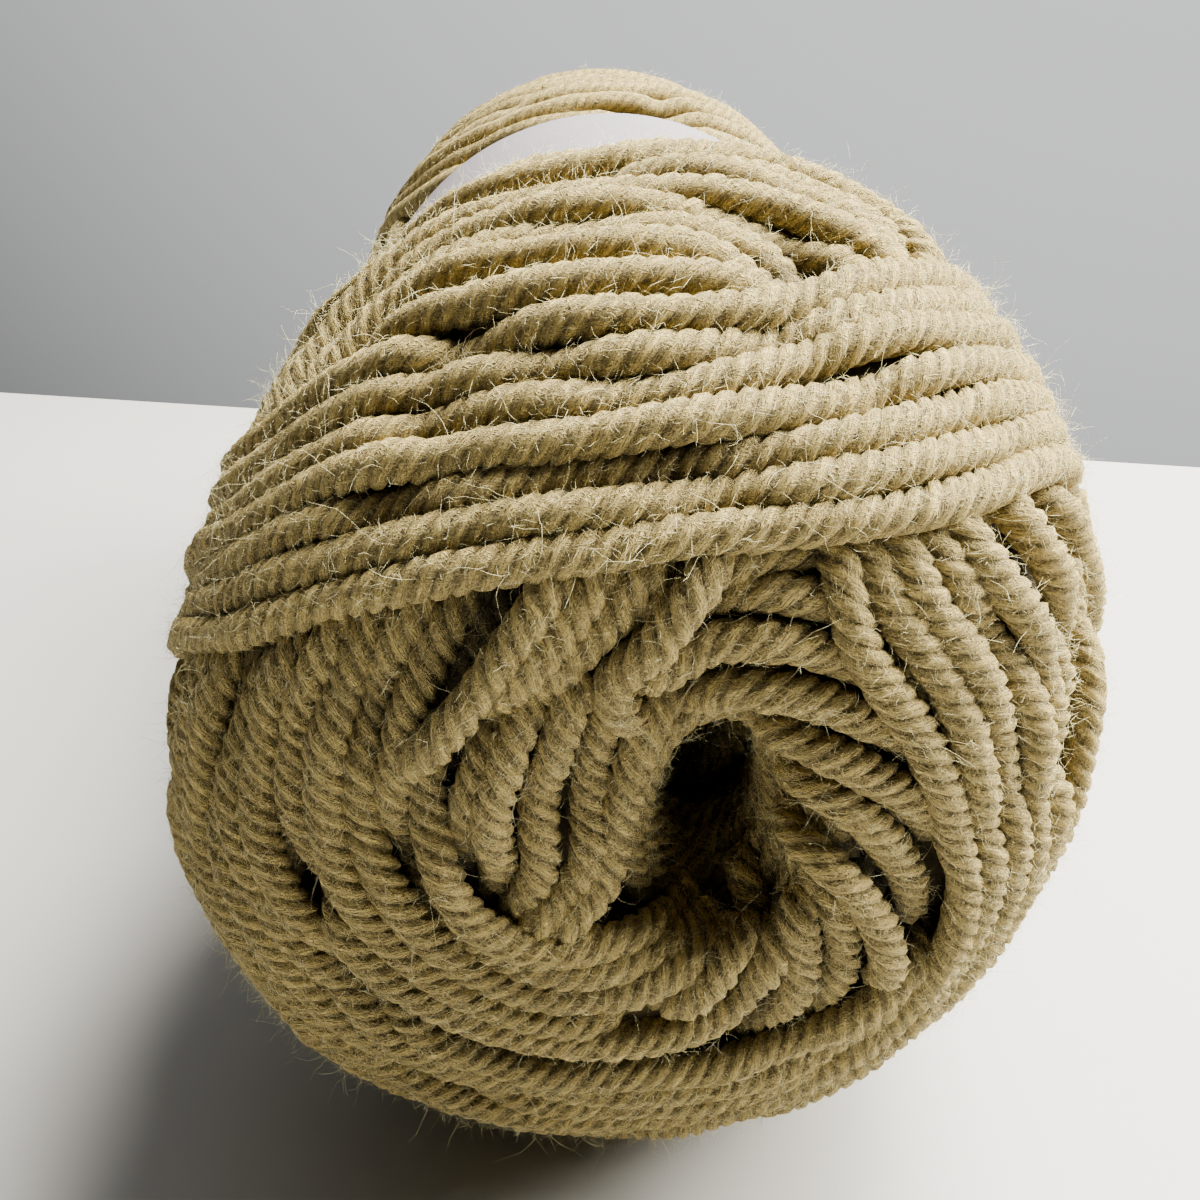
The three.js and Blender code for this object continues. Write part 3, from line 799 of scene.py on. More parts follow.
def ring_corners(n, m):
    """Rows and columns of the corners of a tube's quads, and the triangles that close its ends."""
    k, j = (part.ravel() for part in np.meshgrid(range(n - 1), range(m), indexing="ij"))
    row = np.stack([k, k, k + 1, k + 1], 1)
    column = np.stack([j, (j + 1) % m, (j + 1) % m, j], 1)
    here = np.arange(m)
    after = (here + 1) % m
    start = np.stack([after, here, np.full(m, n * m)], 1)
    end = np.stack([(n - 1) * m + here, (n - 1) * m + after, np.full(m, n * m + 1)], 1)
    return row, column, np.concatenate([start, end])


def ply_ring(count):
    """Angles and radii round one ring of a strand, and whether the ring turns with its plies."""
    if count < PLIES * len(PLY_TURNS):
        return np.arange(count) * TURN / count, np.ones(count), False
    turns = np.concatenate([np.array(PLY_TURNS) + 360 / PLIES * k for k in range(PLIES)])
    return np.radians(turns), np.tile((GROOVE, CREST, CREST), PLIES), True


class StrandMaker:
    """Gathers the visible runs of strands and makes them one mesh."""

    def __init__(self, sides, radius, lead):
        self.turns, self.radii, self.twisted = ply_ring(sides)
        self.sides, self.radius, self.lead = sides, radius, lead
        self.points, self.quads, self.tips = [], [], []
        self.side_uv = {"strand": [], "ply": [], "deep": []}
        self.tip_uv = {"strand": [], "ply": [], "deep": []}
        self.count = 0

    def add(self, centre, outward, sunk, length, number):
        """Adds one run of strand: rings round its centre line, joined by quads, and two tips."""
        n, m = len(centre), self.sides
        phase = number * PHASE_STEP
        along = unit(np.gradient(centre, axis=0))
        out = unit(outward - (outward * along).sum(1, keepdims=True) * along)
        side = np.cross(along, out)
        twist = TURN * length[:, None] / self.lead
        angle = phase + self.turns[None, :] - (twist if self.twisted else 0 * twist)
        plies = PLIES * (angle - phase + twist) / TURN  # a whole number on the crest of each ply
        ends = np.minimum(np.arange(n), np.arange(n)[::-1])
        taper = np.clip(TAPER + TAPER_STEP * ends, 0, 1)[:, None]
        plump = 1 + sum(
            share * np.sin(length / wave + shift * number) for share, wave, shift in THICK_AND_THIN
        )
        uneven = 1 + UNEVEN * np.random.default_rng(number).standard_normal((n, m))
        radius = self.radius * self.radii[None, :] * taper * plump[:, None] * uneven
        ring = (
            centre[:, None]
            + (radius * np.cos(angle) * FLAT)[..., None] * out[:, None]
            + (radius * np.sin(angle) * BROAD)[..., None] * side[:, None]
        )
        points = np.stack([centre[0] - along[0] * TIP, centre[-1] + along[-1] * TIP])
        self.points.append(np.concatenate([ring.reshape(-1, 3), points]))
        row, column, tips = ring_corners(n, m)
        past = (column < column[:, :1]).astype(int)  # corners that have gone once round the strand
        self.quads.append(row * m + column + self.count)
        self.tips.append(tips + self.count)
        self.count += n * m + 2

        def save(layer, first, second, tip_ends, tip_second):
            """Keeps both parts of a UV map for the corners of the sides and of the tips."""
            self.side_uv[layer].append(np.stack(np.broadcast_arrays(first, second), -1))
            uv = np.empty((2 * m, 3, 2))
            uv[:m, :, 0], uv[m:, :, 0] = tip_ends
            uv[..., 1] = tip_second
            self.tip_uv[layer].append(uv)

        around = angle[row, column] * self.radius + past * TURN * self.radius
        tip_turns = np.tile(np.arange(m), 2)[:, None] * TIP_TURN
        tone = number % TONES / TONES
        # How deep each point lies below the winding's outside, for the painted shade between strands.
        below = sunk[:, None] - radius * np.cos(angle)
        save("strand", length[row], around, (length[0], length[-1]), tip_turns)
        save("ply", plies[row, column] + past * PLIES, tone, (0, 0), tone)
        save("deep", below[row, column], 0, (sunk[0], sunk[-1]), 0)

    def finish(self, name):
        points = np.concatenate(self.points)
        points[:, 2] = np.maximum(points[:, 2], -REST_HEIGHT)
        corners = {layer: self.side_uv[layer] + self.tip_uv[layer] for layer in self.side_uv}
        faces = [np.concatenate(self.quads), np.concatenate(self.tips)]
        return make_mesh(name, points, faces, corners)


def runs_of(mask, least, bridge):
    """Stretches where mask holds, with short breaks bridged and short stretches dropped."""
    edges = np.flatnonzero(np.diff(np.concatenate([[0], mask.astype(int), [0]])))
    runs = [list(pair) for pair in edges.reshape(-1, 2)]
    joined = []
    for run in runs:
        if joined and run[0] - joined[-1][1] <= bridge:
            joined[-1][1] = run[1]
        else:
            joined.append(run)
    return [run for run in joined if run[1] - run[0] >= least]


def held_in_band(winding, strand):
    """Heights of a strand, pressed down where the band passes over it, and places on the axis."""
    body = winding.body
    reach, angle, height = strand["reach"], strand["angle"], strand["height"]
    y = body.place(reach, angle, height)[0][:, 1]
    edge = BAND_WIDTH / 2
    under = smooth(edge + BAND_EASE[0], edge + BAND_EASE[1], np.abs(y - BAND_MIDDLE))
    top = body.sample(body.depth, reach, angle) - body.sample(body.shift, reach, angle)
    held = np.minimum(height, top - winding.radius * BAND_HOLD)
    return mix(height, held, under), y


def raised_from_floor(height, lowest):
    """Heights eased so that a strand rests on the floor and isn't cut off by it."""
    lifted = lowest + np.log1p(np.exp((height - lowest) * FLOOR_EASE)) / FLOOR_EASE
    return np.where(height < lowest + FLOOR_NEAR, lifted, height)


def strand_pieces(winding, lead):
    """The visible runs of every strand, gathered into pieces by where and in what bundle they lie."""
    body, radius = winding.body, winding.radius
    makers = {}
    for number, strand in enumerate(winding.strands):
        reach, angle = strand["reach"], strand["angle"]
        height, y = held_in_band(winding, strand)
        centre, outward = body.place(reach, angle, height)
        centre[:, 2] = raised_from_floor(centre[:, 2], -REST_HEIGHT + FLOOR_HOLD * radius)
        seen = ~winding.hidden(strand)
        seen = np.convolve(seen, np.ones(SEEN_SPREAD), mode="same") > 0
        seen &= np.abs(y - BAND_MIDDLE) > BAND_WIDTH / 2 - BAND_COVERS
        outside = body.sample(body.point, reach, angle)
        sunk = ((outside - centre) * outward).sum(1)
        steps = np.linalg.norm(np.diff(centre, axis=0), axis=1)
        length = np.concatenate([[0], np.cumsum(steps)])
        for start, end in runs_of(seen, *SHORTEST_RUN):
            near = y[(start + end) // 2] < BAND_MIDDLE
            group = PIECES[strand["name"] if near else "far"]
            sides, spacing = DETAIL.get(group, (SIDES, RING_SPACING))
            count = max(FEWEST_RINGS, int((length[end - 1] - length[start]) / spacing))
            at = np.linspace(length[start], length[end - 1], count)
            middle, out = (
                np.stack([np.interp(at, length, line[:, k]) for k in range(3)], 1)
                for line in (centre, outward)
            )
            maker = makers.setdefault(group, StrandMaker(sides, radius, lead))
            maker.add(middle, out, np.interp(at, length, sunk), at, number)
    return makers


BUNDLES = {
    "yarn_under": ("base",),
    "yarn_far": ("coil", "far", "far_sash"),
    "yarn_mouth": ("lining", "wall", "rope", "spill", "round_side", "round_top"),
    "yarn_swirl": ("fan", "swirl_in", "swirl_out"),
    "yarn_keel": ("keel",),
    "yarn_right": ("right", "flank"),
    "yarn_crown": ("band_edge", "hoop", "crown"),
    "yarn_sash": ("sash_back", "sash"),
}
PIECES = {bundle: piece for piece, bundles in BUNDLES.items() for bundle in bundles}
RESULT = {}


# ---------------------------------------------------------------- fuzz


def fuzz_points(winding, rng, count, near):
    """Roots for loose fibres on the outsides of the visible strands, and the ways they start."""
    body, radius = winding.body, winding.radius
    roots, ways, outs = [], [], []
    for strand in winding.strands:
        reach, angle, height = strand["reach"], strand["angle"], strand["height"]
        centre, outward = body.place(reach, angle, height)
        along = unit(np.gradient(centre, axis=0))
        y = centre[:, 1]
        side = y < FUZZ_NEAR if near else y > FUZZ_FAR
        bare = winding.height[winding.cells(reach, angle)] < height + COVERED * radius
        chosen = side & bare
        roots.append(centre[chosen])
        ways.append(along[chosen])
        outs.append(outward[chosen])
    roots, ways, outs = (np.concatenate(part) for part in (roots, ways, outs))
    pick = rng.integers(0, len(roots), count)
    roots, ways, outs = roots[pick], ways[pick], outs[pick]
    lean = rng.normal(0, FIBRE_SPREAD, count)[:, None]
    normal = np.cos(lean) * outs + np.sin(lean) * np.cross(ways, outs)
    return roots + normal * radius * FIBRE_ROOT, ways, normal


def fibre_mesh(name, roots, ways, normals, rng, thickness, segments, lengths, rises):
    """Thin closed three-sided fibres that taper to points and curl as they go."""
    n = len(roots)
    length = rng.uniform(*lengths, n)[:, None]
    rise = rng.uniform(*rises, n)[:, None]
    flat = ways * rng.normal(0, 1, (n, 1)) + np.cross(ways, normals) * rng.normal(0, 1, (n, 1))
    way = unit(normals * rise + unit(flat) * (1 - FLATTER * rise))
    axis = unit(rng.normal(0, 1, (n, 3)))
    bend = rng.normal(0, 1, (n, 1)) * FIBRE_CURL / segments
    across = unit(np.cross(way, axis))
    third = np.cross(way, across)
    point = roots - way * FIBRE_BURIED
    verts = [point[:, None]]
    for k in range(1, segments + 1):
        point = point + way * length / segments
        if k < segments:
            thick = thickness * (1 - FIBRE_THINS * k / segments)
            corners = [
                point + thick * (math.cos(a) * across + math.sin(a) * third)
                for a in (0, TURN / 3, 2 * TURN / 3)
            ]
            verts.append(np.stack(corners, 1))
        way = unit(way + np.cross(axis, way) * bend + rng.normal(0, FIBRE_STRAY, (n, 3)))
    verts = np.concatenate(verts + [point[:, None]], 1)
    verts[..., 2] = np.maximum(verts[..., 2], -REST_HEIGHT + FIBRE_LIFT)
    last = verts.shape[1] - 1
    tips = [[0, 2, 1], [0, 3, 2], [0, 1, 3]]
    tips += [[last - 3, last - 2, last], [last - 2, last - 1, last], [last - 1, last - 3, last]]
    sides = []
    for k in range(1, last - 3, 3):
        sides += [[k, k + 1, k + 4, k + 3], [k + 1, k + 2, k + 5, k + 4], [k + 2, k, k + 3, k + 5]]
    base = (np.arange(n) * (last + 1))[:, None, None]
    parts = [part for part in (sides, tips) if part]
    faces = [(base + np.array(part)[None]).reshape(-1, len(part[0])) for part in parts]
    return make_mesh(name, verts.reshape(-1, 3), faces)


# ---------------------------------------------------------------- materials


class Value:
    """A node socket that takes part in Python sums, each adding its Math node."""

    def __init__(self, paint, socket):
        self.paint, self.socket = paint, socket

    def _math(self, operation, a, b):
        return self.paint.node("ShaderNodeMath", {"operation": operation}, {0: a, 1: b})

    def __add__(self, other):
        return self._math("ADD", self, other)

    def __radd__(self, other):
        return self._math("ADD", other, self)

    def __sub__(self, other):
        return self._math("SUBTRACT", self, other)

    def __rsub__(self, other):
        return self._math("SUBTRACT", other, self)

    def __mul__(self, other):
        return self._math("MULTIPLY", self, other)

    def __rmul__(self, other):
        return self._math("MULTIPLY", other, self)


class Paint:
    """A material's node tree, with one method that adds any node."""

    def __init__(self, name, owner=None):
        self.owner = owner or bpy.data.materials.new(name)
        self.owner.use_nodes = True
        self.tree = self.owner.node_tree
        self.tree.nodes.clear()

    def node(self, kind, settings=None, inputs=None, output=0):
        """Adds a node with its settings, then its sockets' numbers or links, and gives an output."""
        node = self.tree.nodes.new(kind)
        for key, value in (settings or {}).items():
            setattr(node, key, value)
        for key, value in (inputs or {}).items():
            socket = node.inputs[key]
            if isinstance(value, Value):
                self.tree.links.new(value.socket, socket)
            else:
                socket.default_value = value
        return Value(self, node.outputs[output]) if node.outputs else node

    def uv_parts(self, layer):
        """Both parts of one of the yarn's UV maps."""
        uv = self.node("ShaderNodeUVMap", {"uv_map": layer})
        return [self.node("ShaderNodeSeparateXYZ", None, {0: uv}, part) for part in (0, 1)]

    def noise(self, scale, detail):
        """Cloudy noise that is fixed to the piece."""
        place = self.node("ShaderNodeTexCoord", None, None, "Object")
        inputs = {"Vector": place, "Scale": scale, "Detail": detail}
        return self.node("ShaderNodeTexNoise", None, inputs)

    def ease(self, value, start, end, low=0.0, high=1.0, kind="LINEAR"):
        """Low up to the start and high past the end."""
        inputs = {0: value, 1: start, 2: end, 3: low, 4: high}
        return self.node("ShaderNodeMapRange", {"interpolation_type": kind}, inputs)

    def bump(self, height, strength, distance):
        inputs = {"Strength": strength, "Distance": distance, "Height": height}
        return self.node("ShaderNodeBump", None, inputs)

    def finish(self, inputs):
        """Makes the material's surface of these inputs."""
        shader = self.node("ShaderNodeBsdfPrincipled", None, inputs)
        self.node("ShaderNodeOutputMaterial", None, {"Surface": shader})
        return self.owner


def rgba(colour, gain=1.0):
    return tuple(min(1, c * gain) for c in colour[:3]) + (1,)


def colour_mix(paint, factor, low, high):
    return paint.node("ShaderNodeMix", {"data_type": "RGBA"}, {0: factor, 6: low, 7: high}, 2)


def curls(paint, place, stretch, lines, width):
    """Thin curling lines, 1 on each line and 0 off it, drawn out along the way they are stretched."""
    at = paint.node("ShaderNodeVectorMath", {"operation": "MULTIPLY"}, {0: place, 1: stretch})
    field = paint.node(
        "ShaderNodeTexNoise", None,
        {"Vector": at, "Scale": 1.0, "Detail": 2.0, "Roughness": 0.55, "Distortion": 0.7},
    )
    band = paint.node("ShaderNodeMath", {"operation": "FRACT"}, {0: field * lines})
    away = paint.node("ShaderNodeMath", {"operation": "ABSOLUTE"}, {0: band - 0.5})
    return paint.ease(away, start=0.0, end=width, low=1.0, high=0.0)


def yarn_material(colour, shade, light, slope):
    """Soft plied yarn: fine curling fibres, partly painted highlight, over grooves darkened as painted
    shade, and painted shade where it lies deep.
    """
    paint = Paint("yarn_plied")
    along, around = paint.uv_parts("strand")
    plies, tone = paint.uv_parts("ply")
    depth = paint.uv_parts("deep")[0]
    crest = paint.node("ShaderNodeMath", {"operation": "COSINE"}, {0: plies * TURN}) * 0.5 + 0.5
    plied, straight = (
        paint.node("ShaderNodeCombineXYZ", None, {0: along, 1: across, 2: tone * TONE_APART})
        for across in (around + along * slope, around)
    )
    long = curls(paint, straight, stretch=(0.5, 1.7, 1.0), lines=6.0, width=0.20)
    twisted = curls(paint, plied, stretch=(0.45, 1.6, 1.0), lines=5.0, width=0.20)
    loose = curls(paint, straight, stretch=(1.2, 1.3, 1.0), lines=5.0, width=0.16)
    gaps = curls(paint, plied, stretch=(0.8, 1.9, 2.0), lines=3.5, width=0.30)
    # Painted shade between strands: darker the deeper a strand lies below the winding's outside.
    clear_of_painted_shade = paint.ease(depth, *PAINTED_SHADE_DEPTHS, low=1.0, high=0.0, kind="SMOOTHSTEP")
    cloud = paint.noise(scale=110.0, detail=3.0)
    # Lighter crests and darker grooves between the plies are painted shade; cloud and tone are the
    # yarn's own uneven tone. The dark end is the darker copy of the yarn's colour kept for painted
    # shade.
    body = crest * CREST_PAINTED_LIGHT + cloud * CLOUD_LIGHT + tone * TONE_LIGHT
    base = colour_mix(paint, paint.ease(body, start=0.15, end=0.85), rgba(shade), rgba(colour))
    # Painted shade in the gaps between fibres, which also sink in the bump.
    base = colour_mix(paint, gaps * GAPS_SHOW, base, rgba(shade, gain=GAP_PAINTED_SHADE))
    # Pale fibre lines: partly the pattern of the yarn's fibres, partly painted highlight.
    base = colour_mix(paint, long * LONG_SHOW + twisted * TWISTED_SHOW, base, rgba(light))
    base = colour_mix(paint, loose * LOOSE_SHOW, base, rgba(light))
    base = colour_mix(paint, clear_of_painted_shade, rgba(shade, gain=DEEP_PAINTED_SHADE), base)
    height = long * LONG_RISE + twisted * TWISTED_RISE + loose * LOOSE_RISE
    height = height - gaps * GAPS_SINK + crest * CREST_RISE
    bump = paint.bump(height, strength=0.9, distance=0.0003)
    return paint.finish({
        "Base Color": base, "Roughness": 0.75, "Normal": bump,
        "Specular IOR Level": 0.3, "Sheen Weight": 0.12, "Sheen Roughness": 0.4,
        "Sheen Tint": (1.0, 0.84, 0.5, 1.0),
    })


def fuzz_material(colour):
    """Loose fibres, a little lighter here and there."""
    paint = Paint("yarn_fuzz")
    grain = paint.noise(scale=900.0, detail=2.0)
    base = colour_mix(paint, grain, rgba(colour, gain=0.85), rgba(colour, gain=1.25))
    return paint.finish({"Base Color": base, "Roughness": 0.6, "Specular IOR Level": 0.3})


def core_material(colour):
    """Yarn too deep to be made out, coloured as painted shade in a darker copy of the yarn's colour,
    with a hint of strands.
    """
    paint = Paint("yarn_core_painted_shade")
    place = paint.node("ShaderNodeTexCoord", None, None, "Object")
    strands = paint.node(
        "ShaderNodeTexWave", {"bands_direction": "DIAGONAL"},
        {"Vector": place, "Scale": 98.0, "Distortion": 2.5, "Detail": 2.0, "Detail Scale": 1.5},
        1,
    )
    grain = paint.noise(scale=500.0, detail=3.0)
    light = grain * 0.5 + strands * 0.5
    # Painted shade: the whole core takes the darker copy of the yarn's colour.
    base = colour_mix(paint, light, rgba(colour, gain=0.3), rgba(colour, gain=1.3))
    bump = paint.bump(light, strength=0.9, distance=0.0010)
    return paint.finish({"Base Color": base, "Roughness": 0.95, "Normal": bump})


def paper_material(colour):
    """Plain paper with fine pulp and a faint unevenness."""
    paint = Paint("band_paper")
    pulp = paint.noise(scale=700.0, detail=4.0)
    wave = paint.noise(scale=45.0, detail=1.0)
    light = pulp * 0.35 + wave * 0.65
    base = colour_mix(paint, light, rgba(colour, gain=0.86), rgba(colour, gain=1.1))
    bump = paint.bump(light, strength=0.3, distance=0.0003)
    return paint.finish(
        {"Base Color": base, "Roughness": 0.55, "Normal": bump, "Specular IOR Level": 0.35}
    )


def floor_material(colour):
    """Plain floor, very slightly uneven in colour."""
    paint = Paint("floor_finish")
    grain = paint.noise(scale=30.0, detail=2.0)
    base = colour_mix(paint, grain, rgba(colour, gain=0.985), rgba(colour, gain=1.015))
    return paint.finish({"Base Color": base, "Roughness": 0.6})


def room_light(strength):
    """A soft room, lightest behind the skein on the right and above, and dim towards its near end."""
    paint = Paint("soft_room", bpy.data.worlds.new("soft_room"))
    way = paint.node("ShaderNodeTexCoord")
    across = paint.node(
        "ShaderNodeVectorMath", {"operation": "DOT_PRODUCT"}, {0: way, 1: LIGHTEST}, "Value"
    )
    share = paint.ease(across, start=0.1, end=1.0, kind="SMOOTHSTEP")
    colour = colour_mix(paint, share, ROOM_DIM, ROOM_BRIGHT)
    light = paint.node("ShaderNodeBackground", None, {"Color": colour, "Strength": strength})
    paint.node("ShaderNodeOutputWorld", None, {"Surface": light})
    return paint.owner


# ---------------------------------------------------------------- settings


def length_setting(name, description, default, least, most):
    return bpy.props.FloatProperty(
        name=name, description=description, default=default, min=least, max=most, unit="LENGTH"
    )


def colour_setting(name, description, default):
    return bpy.props.FloatVectorProperty(
        name=name, description=description, subtype="COLOR", default=default, min=0, max=1
    )


def count_setting(name, description, default, most):
    return bpy.props.IntProperty(
        name=name, description=description, default=default, min=0, max=most
    )


class SkeinSettings(bpy.types.PropertyGroup):
    strand: length_setting("Strand", "Thickness of the plied yarn", 0.00325, 0.001, 0.008)
    lead: length_setting(
        "Ply lead", "Length in which a ply goes once round the strand", 0.007, 0.003, 0.03
    )
    layers: length_setting(
        "Under layers", "Depth of yarn laid before the outer bundles", 0.0052, 0.002, 0.012
    )
    seed: count_setting("Seed", "Changes the under layers and the fuzz", 7, 9999)
    fibres: count_setting(
        "Fibres", "Short loose fibres on the near part, in each of two lots", 23000, 33000
    )
    fibres_far: count_setting("Far fibres", "Loose fibres on the far part of the yarn", 9000, 33000)
    fibres_long: count_setting(
        "Long fibres", "Long loose fibres on the near part of the yarn", 6000, 6600
    )
    # The first colour is the yarn's own; the second is a darker copy of it used as painted shade in
    # grooves, gaps, deep between strands and on the core; the third is a paler colour for fibres drawn
    # on the yarn, partly painted highlight.
    yarn: colour_setting(
        "Yarn", "Colour of the yarn where light reaches it", (0.60, 0.45, 0.135)
    )
    yarn_painted_shade: colour_setting(
        "Yarn shade", "Colour in the grooves of the yarn", (0.115, 0.082, 0.029)
    )
    yarn_light: colour_setting(
        "Yarn light", "Colour of the fine fibres that lie on the yarn", (0.95, 0.75, 0.29)
    )
    fuzz: colour_setting("Fuzz", "Colour of the loose fibres", (0.95, 0.80, 0.46))


class BandSettings(bpy.types.PropertyGroup):
    thickness: length_setting(
        "Thickness", "Thickness of the band's paper", 0.00025, 0.0001, 0.001
    )
    colour: colour_setting("Paper", "Colour of the band's paper", (0.25, 0.23, 0.26))


class StageSettings(bpy.types.PropertyGroup):
    lens: bpy.props.FloatProperty(
        name="Lens", description="Focal length of the camera", default=36.0, min=10, max=200,
        subtype="DISTANCE_CAMERA",
    )
    key_power: bpy.props.FloatProperty(
        name="Key light", description="Power of the soft lights", default=8.0, min=0, unit="POWER"
    )
    room: bpy.props.FloatProperty(
        name="Room light", description="Strength of the light from the room", default=0.95, min=0
    )
    floor: colour_setting("Floor", "Colour of the floor", (0.46, 0.46, 0.45))


# ---------------------------------------------------------------- operators


def ready_for(obj, node_name, material):
    """Gives a piece its finish, says what it rides on, and hides the part of the model that it stands
    for.
    """
    obj.data.materials.clear()
    obj.data.materials.append(material)
    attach(obj, "root")
    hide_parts(node_name)


def wound():
    """The winding that the first step leaves for the others."""
    if "winding" not in RESULT:
        raise RuntimeError("wind the yarn first")
    return RESULT["winding"]


class SKEIN_OT_wind(bpy.types.Operator):
    """Wind the yarn: the strands of every bundle, each resting on those below it"""

    bl_idname = "skein.wind"
    bl_label = "Wind the yarn"

    def execute(self, context):
        s = context.scene.skein
        winding = wind(s.strand / MM / 2, s.seed, s.layers / MM)
        makers = strand_pieces(winding, s.lead / MM)
        material = yarn_material(s.yarn, s.yarn_painted_shade, s.yarn_light, math.pi * s.strand / s.lead)
        for name in sorted(makers):
            ready_for(makers[name].finish(name), "wound_yarn", material)
        RESULT["winding"] = winding
        return {"FINISHED"}


class SKEIN_OT_fuzz(bpy.types.Operator):
    """Grow the loose fibres that stand off the yarn"""

    bl_idname = "skein.fuzz"
    bl_label = "Grow the fuzz"

    def execute(self, context):
        s = context.scene.skein
        winding = wound()
        material = fuzz_material(s.fuzz)
        rng = np.random.default_rng(s.seed + 1)
        tufts = (
            ("fuzz_a", s.fibres, True, FIBRE_SHORT),
            ("fuzz_b", s.fibres, True, FIBRE_SHORT),
            ("fuzz_far", s.fibres_far, False, FIBRE_SHORT),
            ("fuzz_long", s.fibres_long, True, FIBRE_LONG),
        )
        for name, count, near, shape in tufts:
            obj = fibre_mesh(name, *fuzz_points(winding, rng, count, near), rng, **shape)
            ready_for(obj, "wound_yarn", material)
        return {"FINISHED"}


class SKEIN_OT_core(bpy.types.Operator):
    """Make the body of yarn that lies below the visible turns, dark with painted shade"""

    bl_idname = "skein.core"
    bl_label = "Make the core"

    def execute(self, context):
        body = wound().body
        rows = np.arange(CORE_ENDS, len(body.reach) - CORE_ENDS, CORE_ROWS)
        columns = np.arange(0, COLUMNS, CORE_COLUMNS)
        place = body.point + (body.relief - CORE_DEPTH)[..., None] * body.outward
        grid = place[rows][:, columns]
        points = np.concatenate([grid.reshape(-1, 3), grid[[0, -1]].mean(1)])
        points[:, 2] = np.maximum(points[:, 2], -REST_HEIGHT + CORE_LIFT)
        row, column, ends = ring_corners(*grid.shape[:2])
        quads = row * len(columns) + column
        # A tube's faces run the other way round where it is the outside that turns inwards
        faces = [np.roll(part[:, ::-1], 1, axis=1) for part in (quads, ends)]
        obj = make_mesh("yarn_core", points, faces)
        ready_for(obj, "wound_yarn", core_material(context.scene.skein.yarn_painted_shade))
        return {"FINISHED"}


class SKEIN_OT_band(bpy.types.Operator):
    """Make the paper band round the skein's waist"""

    bl_idname = "skein.band"
    bl_label = "Make the band"

    def execute(self, context):
        s = context.scene.skein_band
        bpy.ops.object.select_all(action="DESELECT")
        bpy.ops.mesh.primitive_cylinder_add(
            vertices=BAND_SIDES, radius=SLEEVE_RADIUS * MM, depth=BAND_WIDTH * MM,
            end_fill_type="NOTHING", location=(0, 0, 0), rotation=(math.pi / 2, 0, 0),
        )
        obj = context.active_object
        obj.name = obj.data.name = "paper_wrap"
        bpy.ops.object.transform_apply(location=True, rotation=True, scale=True)
        mesh = obj.data
        bpy.ops.object.mode_set(mode="EDIT")
        bpy.ops.mesh.select_mode(type="EDGE")
        bpy.ops.mesh.select_all(action="DESELECT")
        bpy.ops.object.mode_set(mode="OBJECT")
        for edge in mesh.edges:
            first, last = (mesh.vertices[k].co.y for k in edge.vertices)
            edge.select = abs(first - last) > BAND_WIDTH / 2 * MM
        bpy.ops.object.mode_set(mode="EDIT")
        bpy.ops.mesh.subdivide(number_cuts=BAND_CUTS)
        bpy.ops.object.mode_set(mode="OBJECT")
        phases = np.random.default_rng(BAND_SEED).uniform(0, TURN, RIPPLES)
        for v in mesh.vertices:
            y = v.co.y / MM
            angle = math.atan2(v.co.z, v.co.x)
            flare = EDGE_FLARE * abs(y / (BAND_WIDTH / 2)) ** FLARE_POWER
            ripple = RIPPLE_DEPTH * sum(
                math.sin((2 + 3 * k) * angle + phases[k] + RIPPLE_LEAN * (k + 1) * y) / (k + 2)
                for k in range(RIPPLES)
            )
            place = y + BAND_MIDDLE
            radius = (SLEEVE_RADIUS + BAND_CLEAR + ripple + flare) * oval(place, angle)
            spot = np.array([radius * math.cos(angle), place, radius * math.sin(angle)])
            v.co = (spot + AXIS_AT) * MM
        obj.select_set(True)
        solid = obj.modifiers.new("thickness", "SOLIDIFY")
        solid.thickness = s.thickness
        solid.offset = 1.0
        bpy.ops.object.modifier_apply(modifier="thickness")
        bpy.ops.object.shade_smooth_by_angle(angle=math.radians(BAND_CREASE))
        ready_for(obj, "paper_band", paper_material(s.colour))
        return {"FINISHED"}


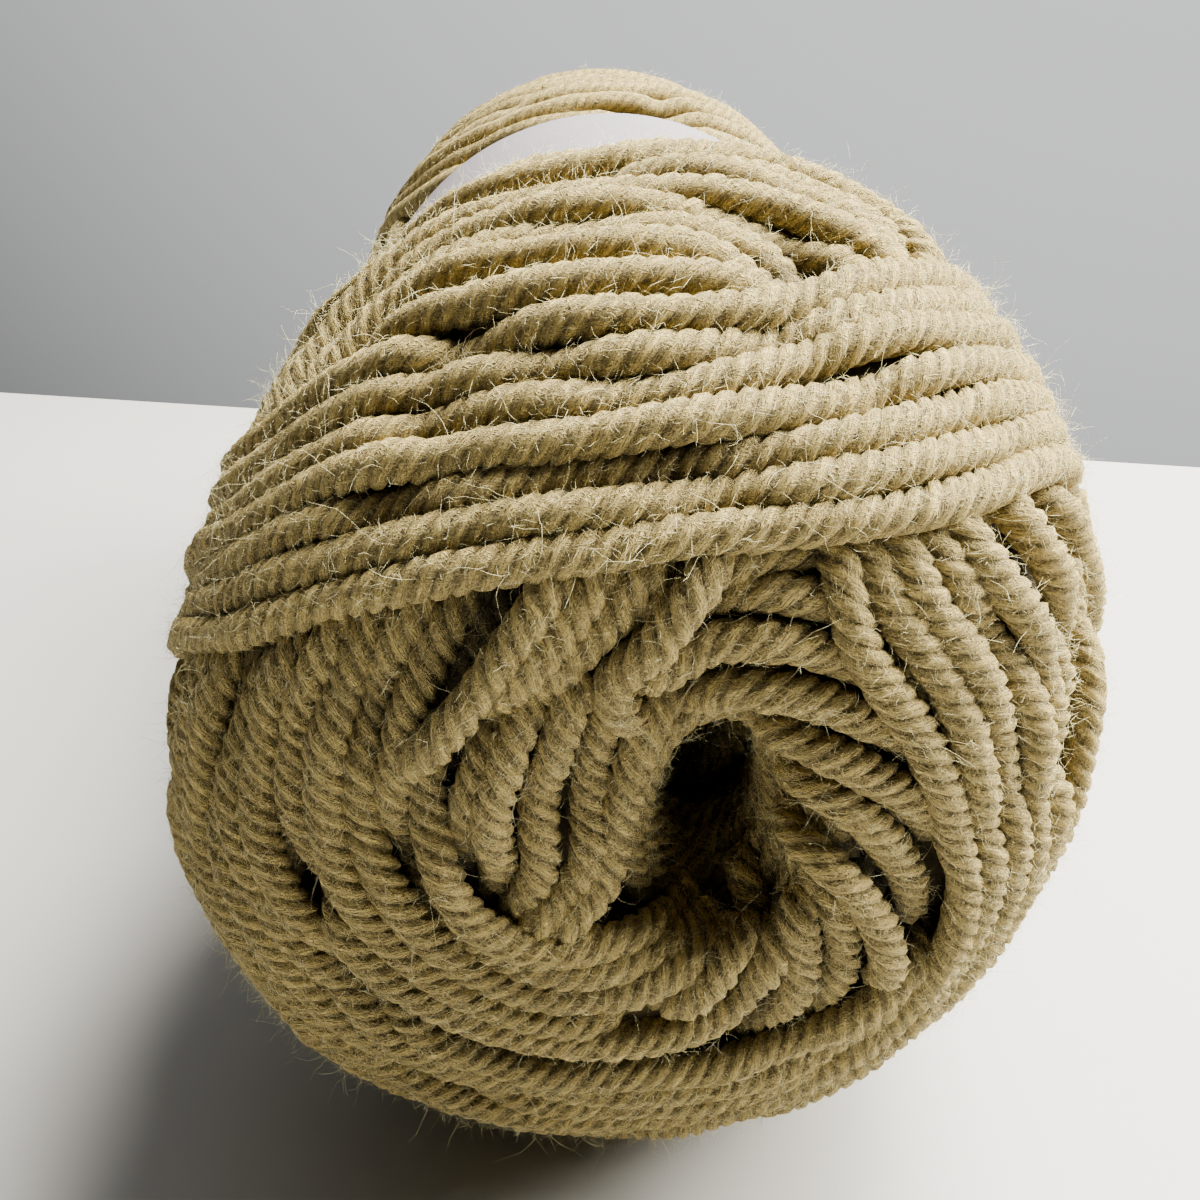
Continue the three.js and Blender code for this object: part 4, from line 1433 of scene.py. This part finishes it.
class SKEIN_OT_stage(bpy.types.Operator):
    """Set up the floor, the soft lights and the camera"""

    bl_idname = "skein.stage"
    bl_label = "Set the stage"

    def execute(self, context):
        s = context.scene.skein_stage
        bpy.ops.object.select_all(action="DESELECT")
        bpy.ops.mesh.primitive_plane_add(size=2.0, location=(0, 0, 0))
        floor = context.active_object
        floor.name = "floor"
        ahead = unit(np.array(FLOOR_EDGE_WAY))
        back = np.array([ahead[1], -ahead[0]])
        for v in floor.data.vertices:
            along = FLOOR_RIGHT if v.co.x > 0 else -FLOOR_LEFT
            towards = 0 if v.co.y > 0 else FLOOR_DEPTH
            v.co = (*(np.array(FLOOR_EDGE_AT) + along * ahead + towards * back), 0.0)
        floor.data.materials.append(floor_material(s.floor))
        for name, place, size, share in LIGHTS:
            bpy.ops.object.light_add(type="AREA", location=place)
            lamp = context.active_object
            lamp.name = name
            lamp.data.energy = s.key_power * share
            lamp.data.size, lamp.data.color = size, LIGHT_COLOUR
            aim = Vector(LIGHTS_AIM) - Vector(place)
            lamp.rotation_euler = aim.to_track_quat("-Z", "Y").to_euler()
        context.scene.world = room_light(s.room)
        camera_data = bpy.data.cameras.new("view")
        camera_data.lens, camera_data.sensor_width = s.lens, SENSOR
        camera_data.clip_start = CLIP_START
        camera = bpy.data.objects.new("view", camera_data)
        context.collection.objects.link(camera)
        camera.location = (np.array(CAMERA_AT) + AXIS_AT) * MM
        camera.rotation_euler = camera_turn(*CAMERA_TURN)
        context.scene.camera = camera
        return {"FINISHED"}


def camera_turn(pitch, yaw, roll):
    """Rotation of a camera that looks along +Y, pitched down, yawed to the right and rolled."""
    p, w, r = (math.radians(a) for a in (pitch, yaw, roll))
    ahead = np.array([math.sin(w) * math.cos(p), math.cos(w) * math.cos(p), -math.sin(p)])
    right = np.array([math.cos(w), -math.sin(w), 0.0])
    up = np.cross(right, ahead)
    rolled_right = math.cos(r) * right + math.sin(r) * up
    rolled_up = math.cos(r) * up - math.sin(r) * right
    return Matrix(np.stack([rolled_right, rolled_up, -ahead], 1).tolist()).to_euler()


class SKEIN_PT_panel(bpy.types.Panel):
    """Lists the steps that make the skein"""

    bl_label = "Skein"
    bl_space_type = "VIEW_3D"
    bl_region_type = "UI"
    bl_category = "Skein"

    def draw(self, context):
        for group in (context.scene.skein, context.scene.skein_band, context.scene.skein_stage):
            for key in group.bl_rna.properties.keys():
                if key not in ("rna_type", "name"):
                    self.layout.prop(group, key)
        for operator in STEPS:
            self.layout.operator(operator.bl_idname)


STEPS = (SKEIN_OT_wind, SKEIN_OT_fuzz, SKEIN_OT_core, SKEIN_OT_band, SKEIN_OT_stage)
CLASSES = (SkeinSettings, BandSettings, StageSettings) + STEPS + (SKEIN_PT_panel,)


def register():
    for cls in CLASSES:
        bpy.utils.register_class(cls)
    bpy.types.Scene.skein = bpy.props.PointerProperty(type=SkeinSettings)
    bpy.types.Scene.skein_band = bpy.props.PointerProperty(type=BandSettings)
    bpy.types.Scene.skein_stage = bpy.props.PointerProperty(type=StageSettings)


def unregister():
    del bpy.types.Scene.skein, bpy.types.Scene.skein_band, bpy.types.Scene.skein_stage
    for cls in reversed(CLASSES):
        bpy.utils.unregister_class(cls)


def main():
    register()
    bpy.ops.skein.wind()
    bpy.ops.skein.fuzz()
    bpy.ops.skein.core()
    bpy.ops.skein.band()
    bpy.ops.skein.stage()


if __name__ == "__main__":
    main()
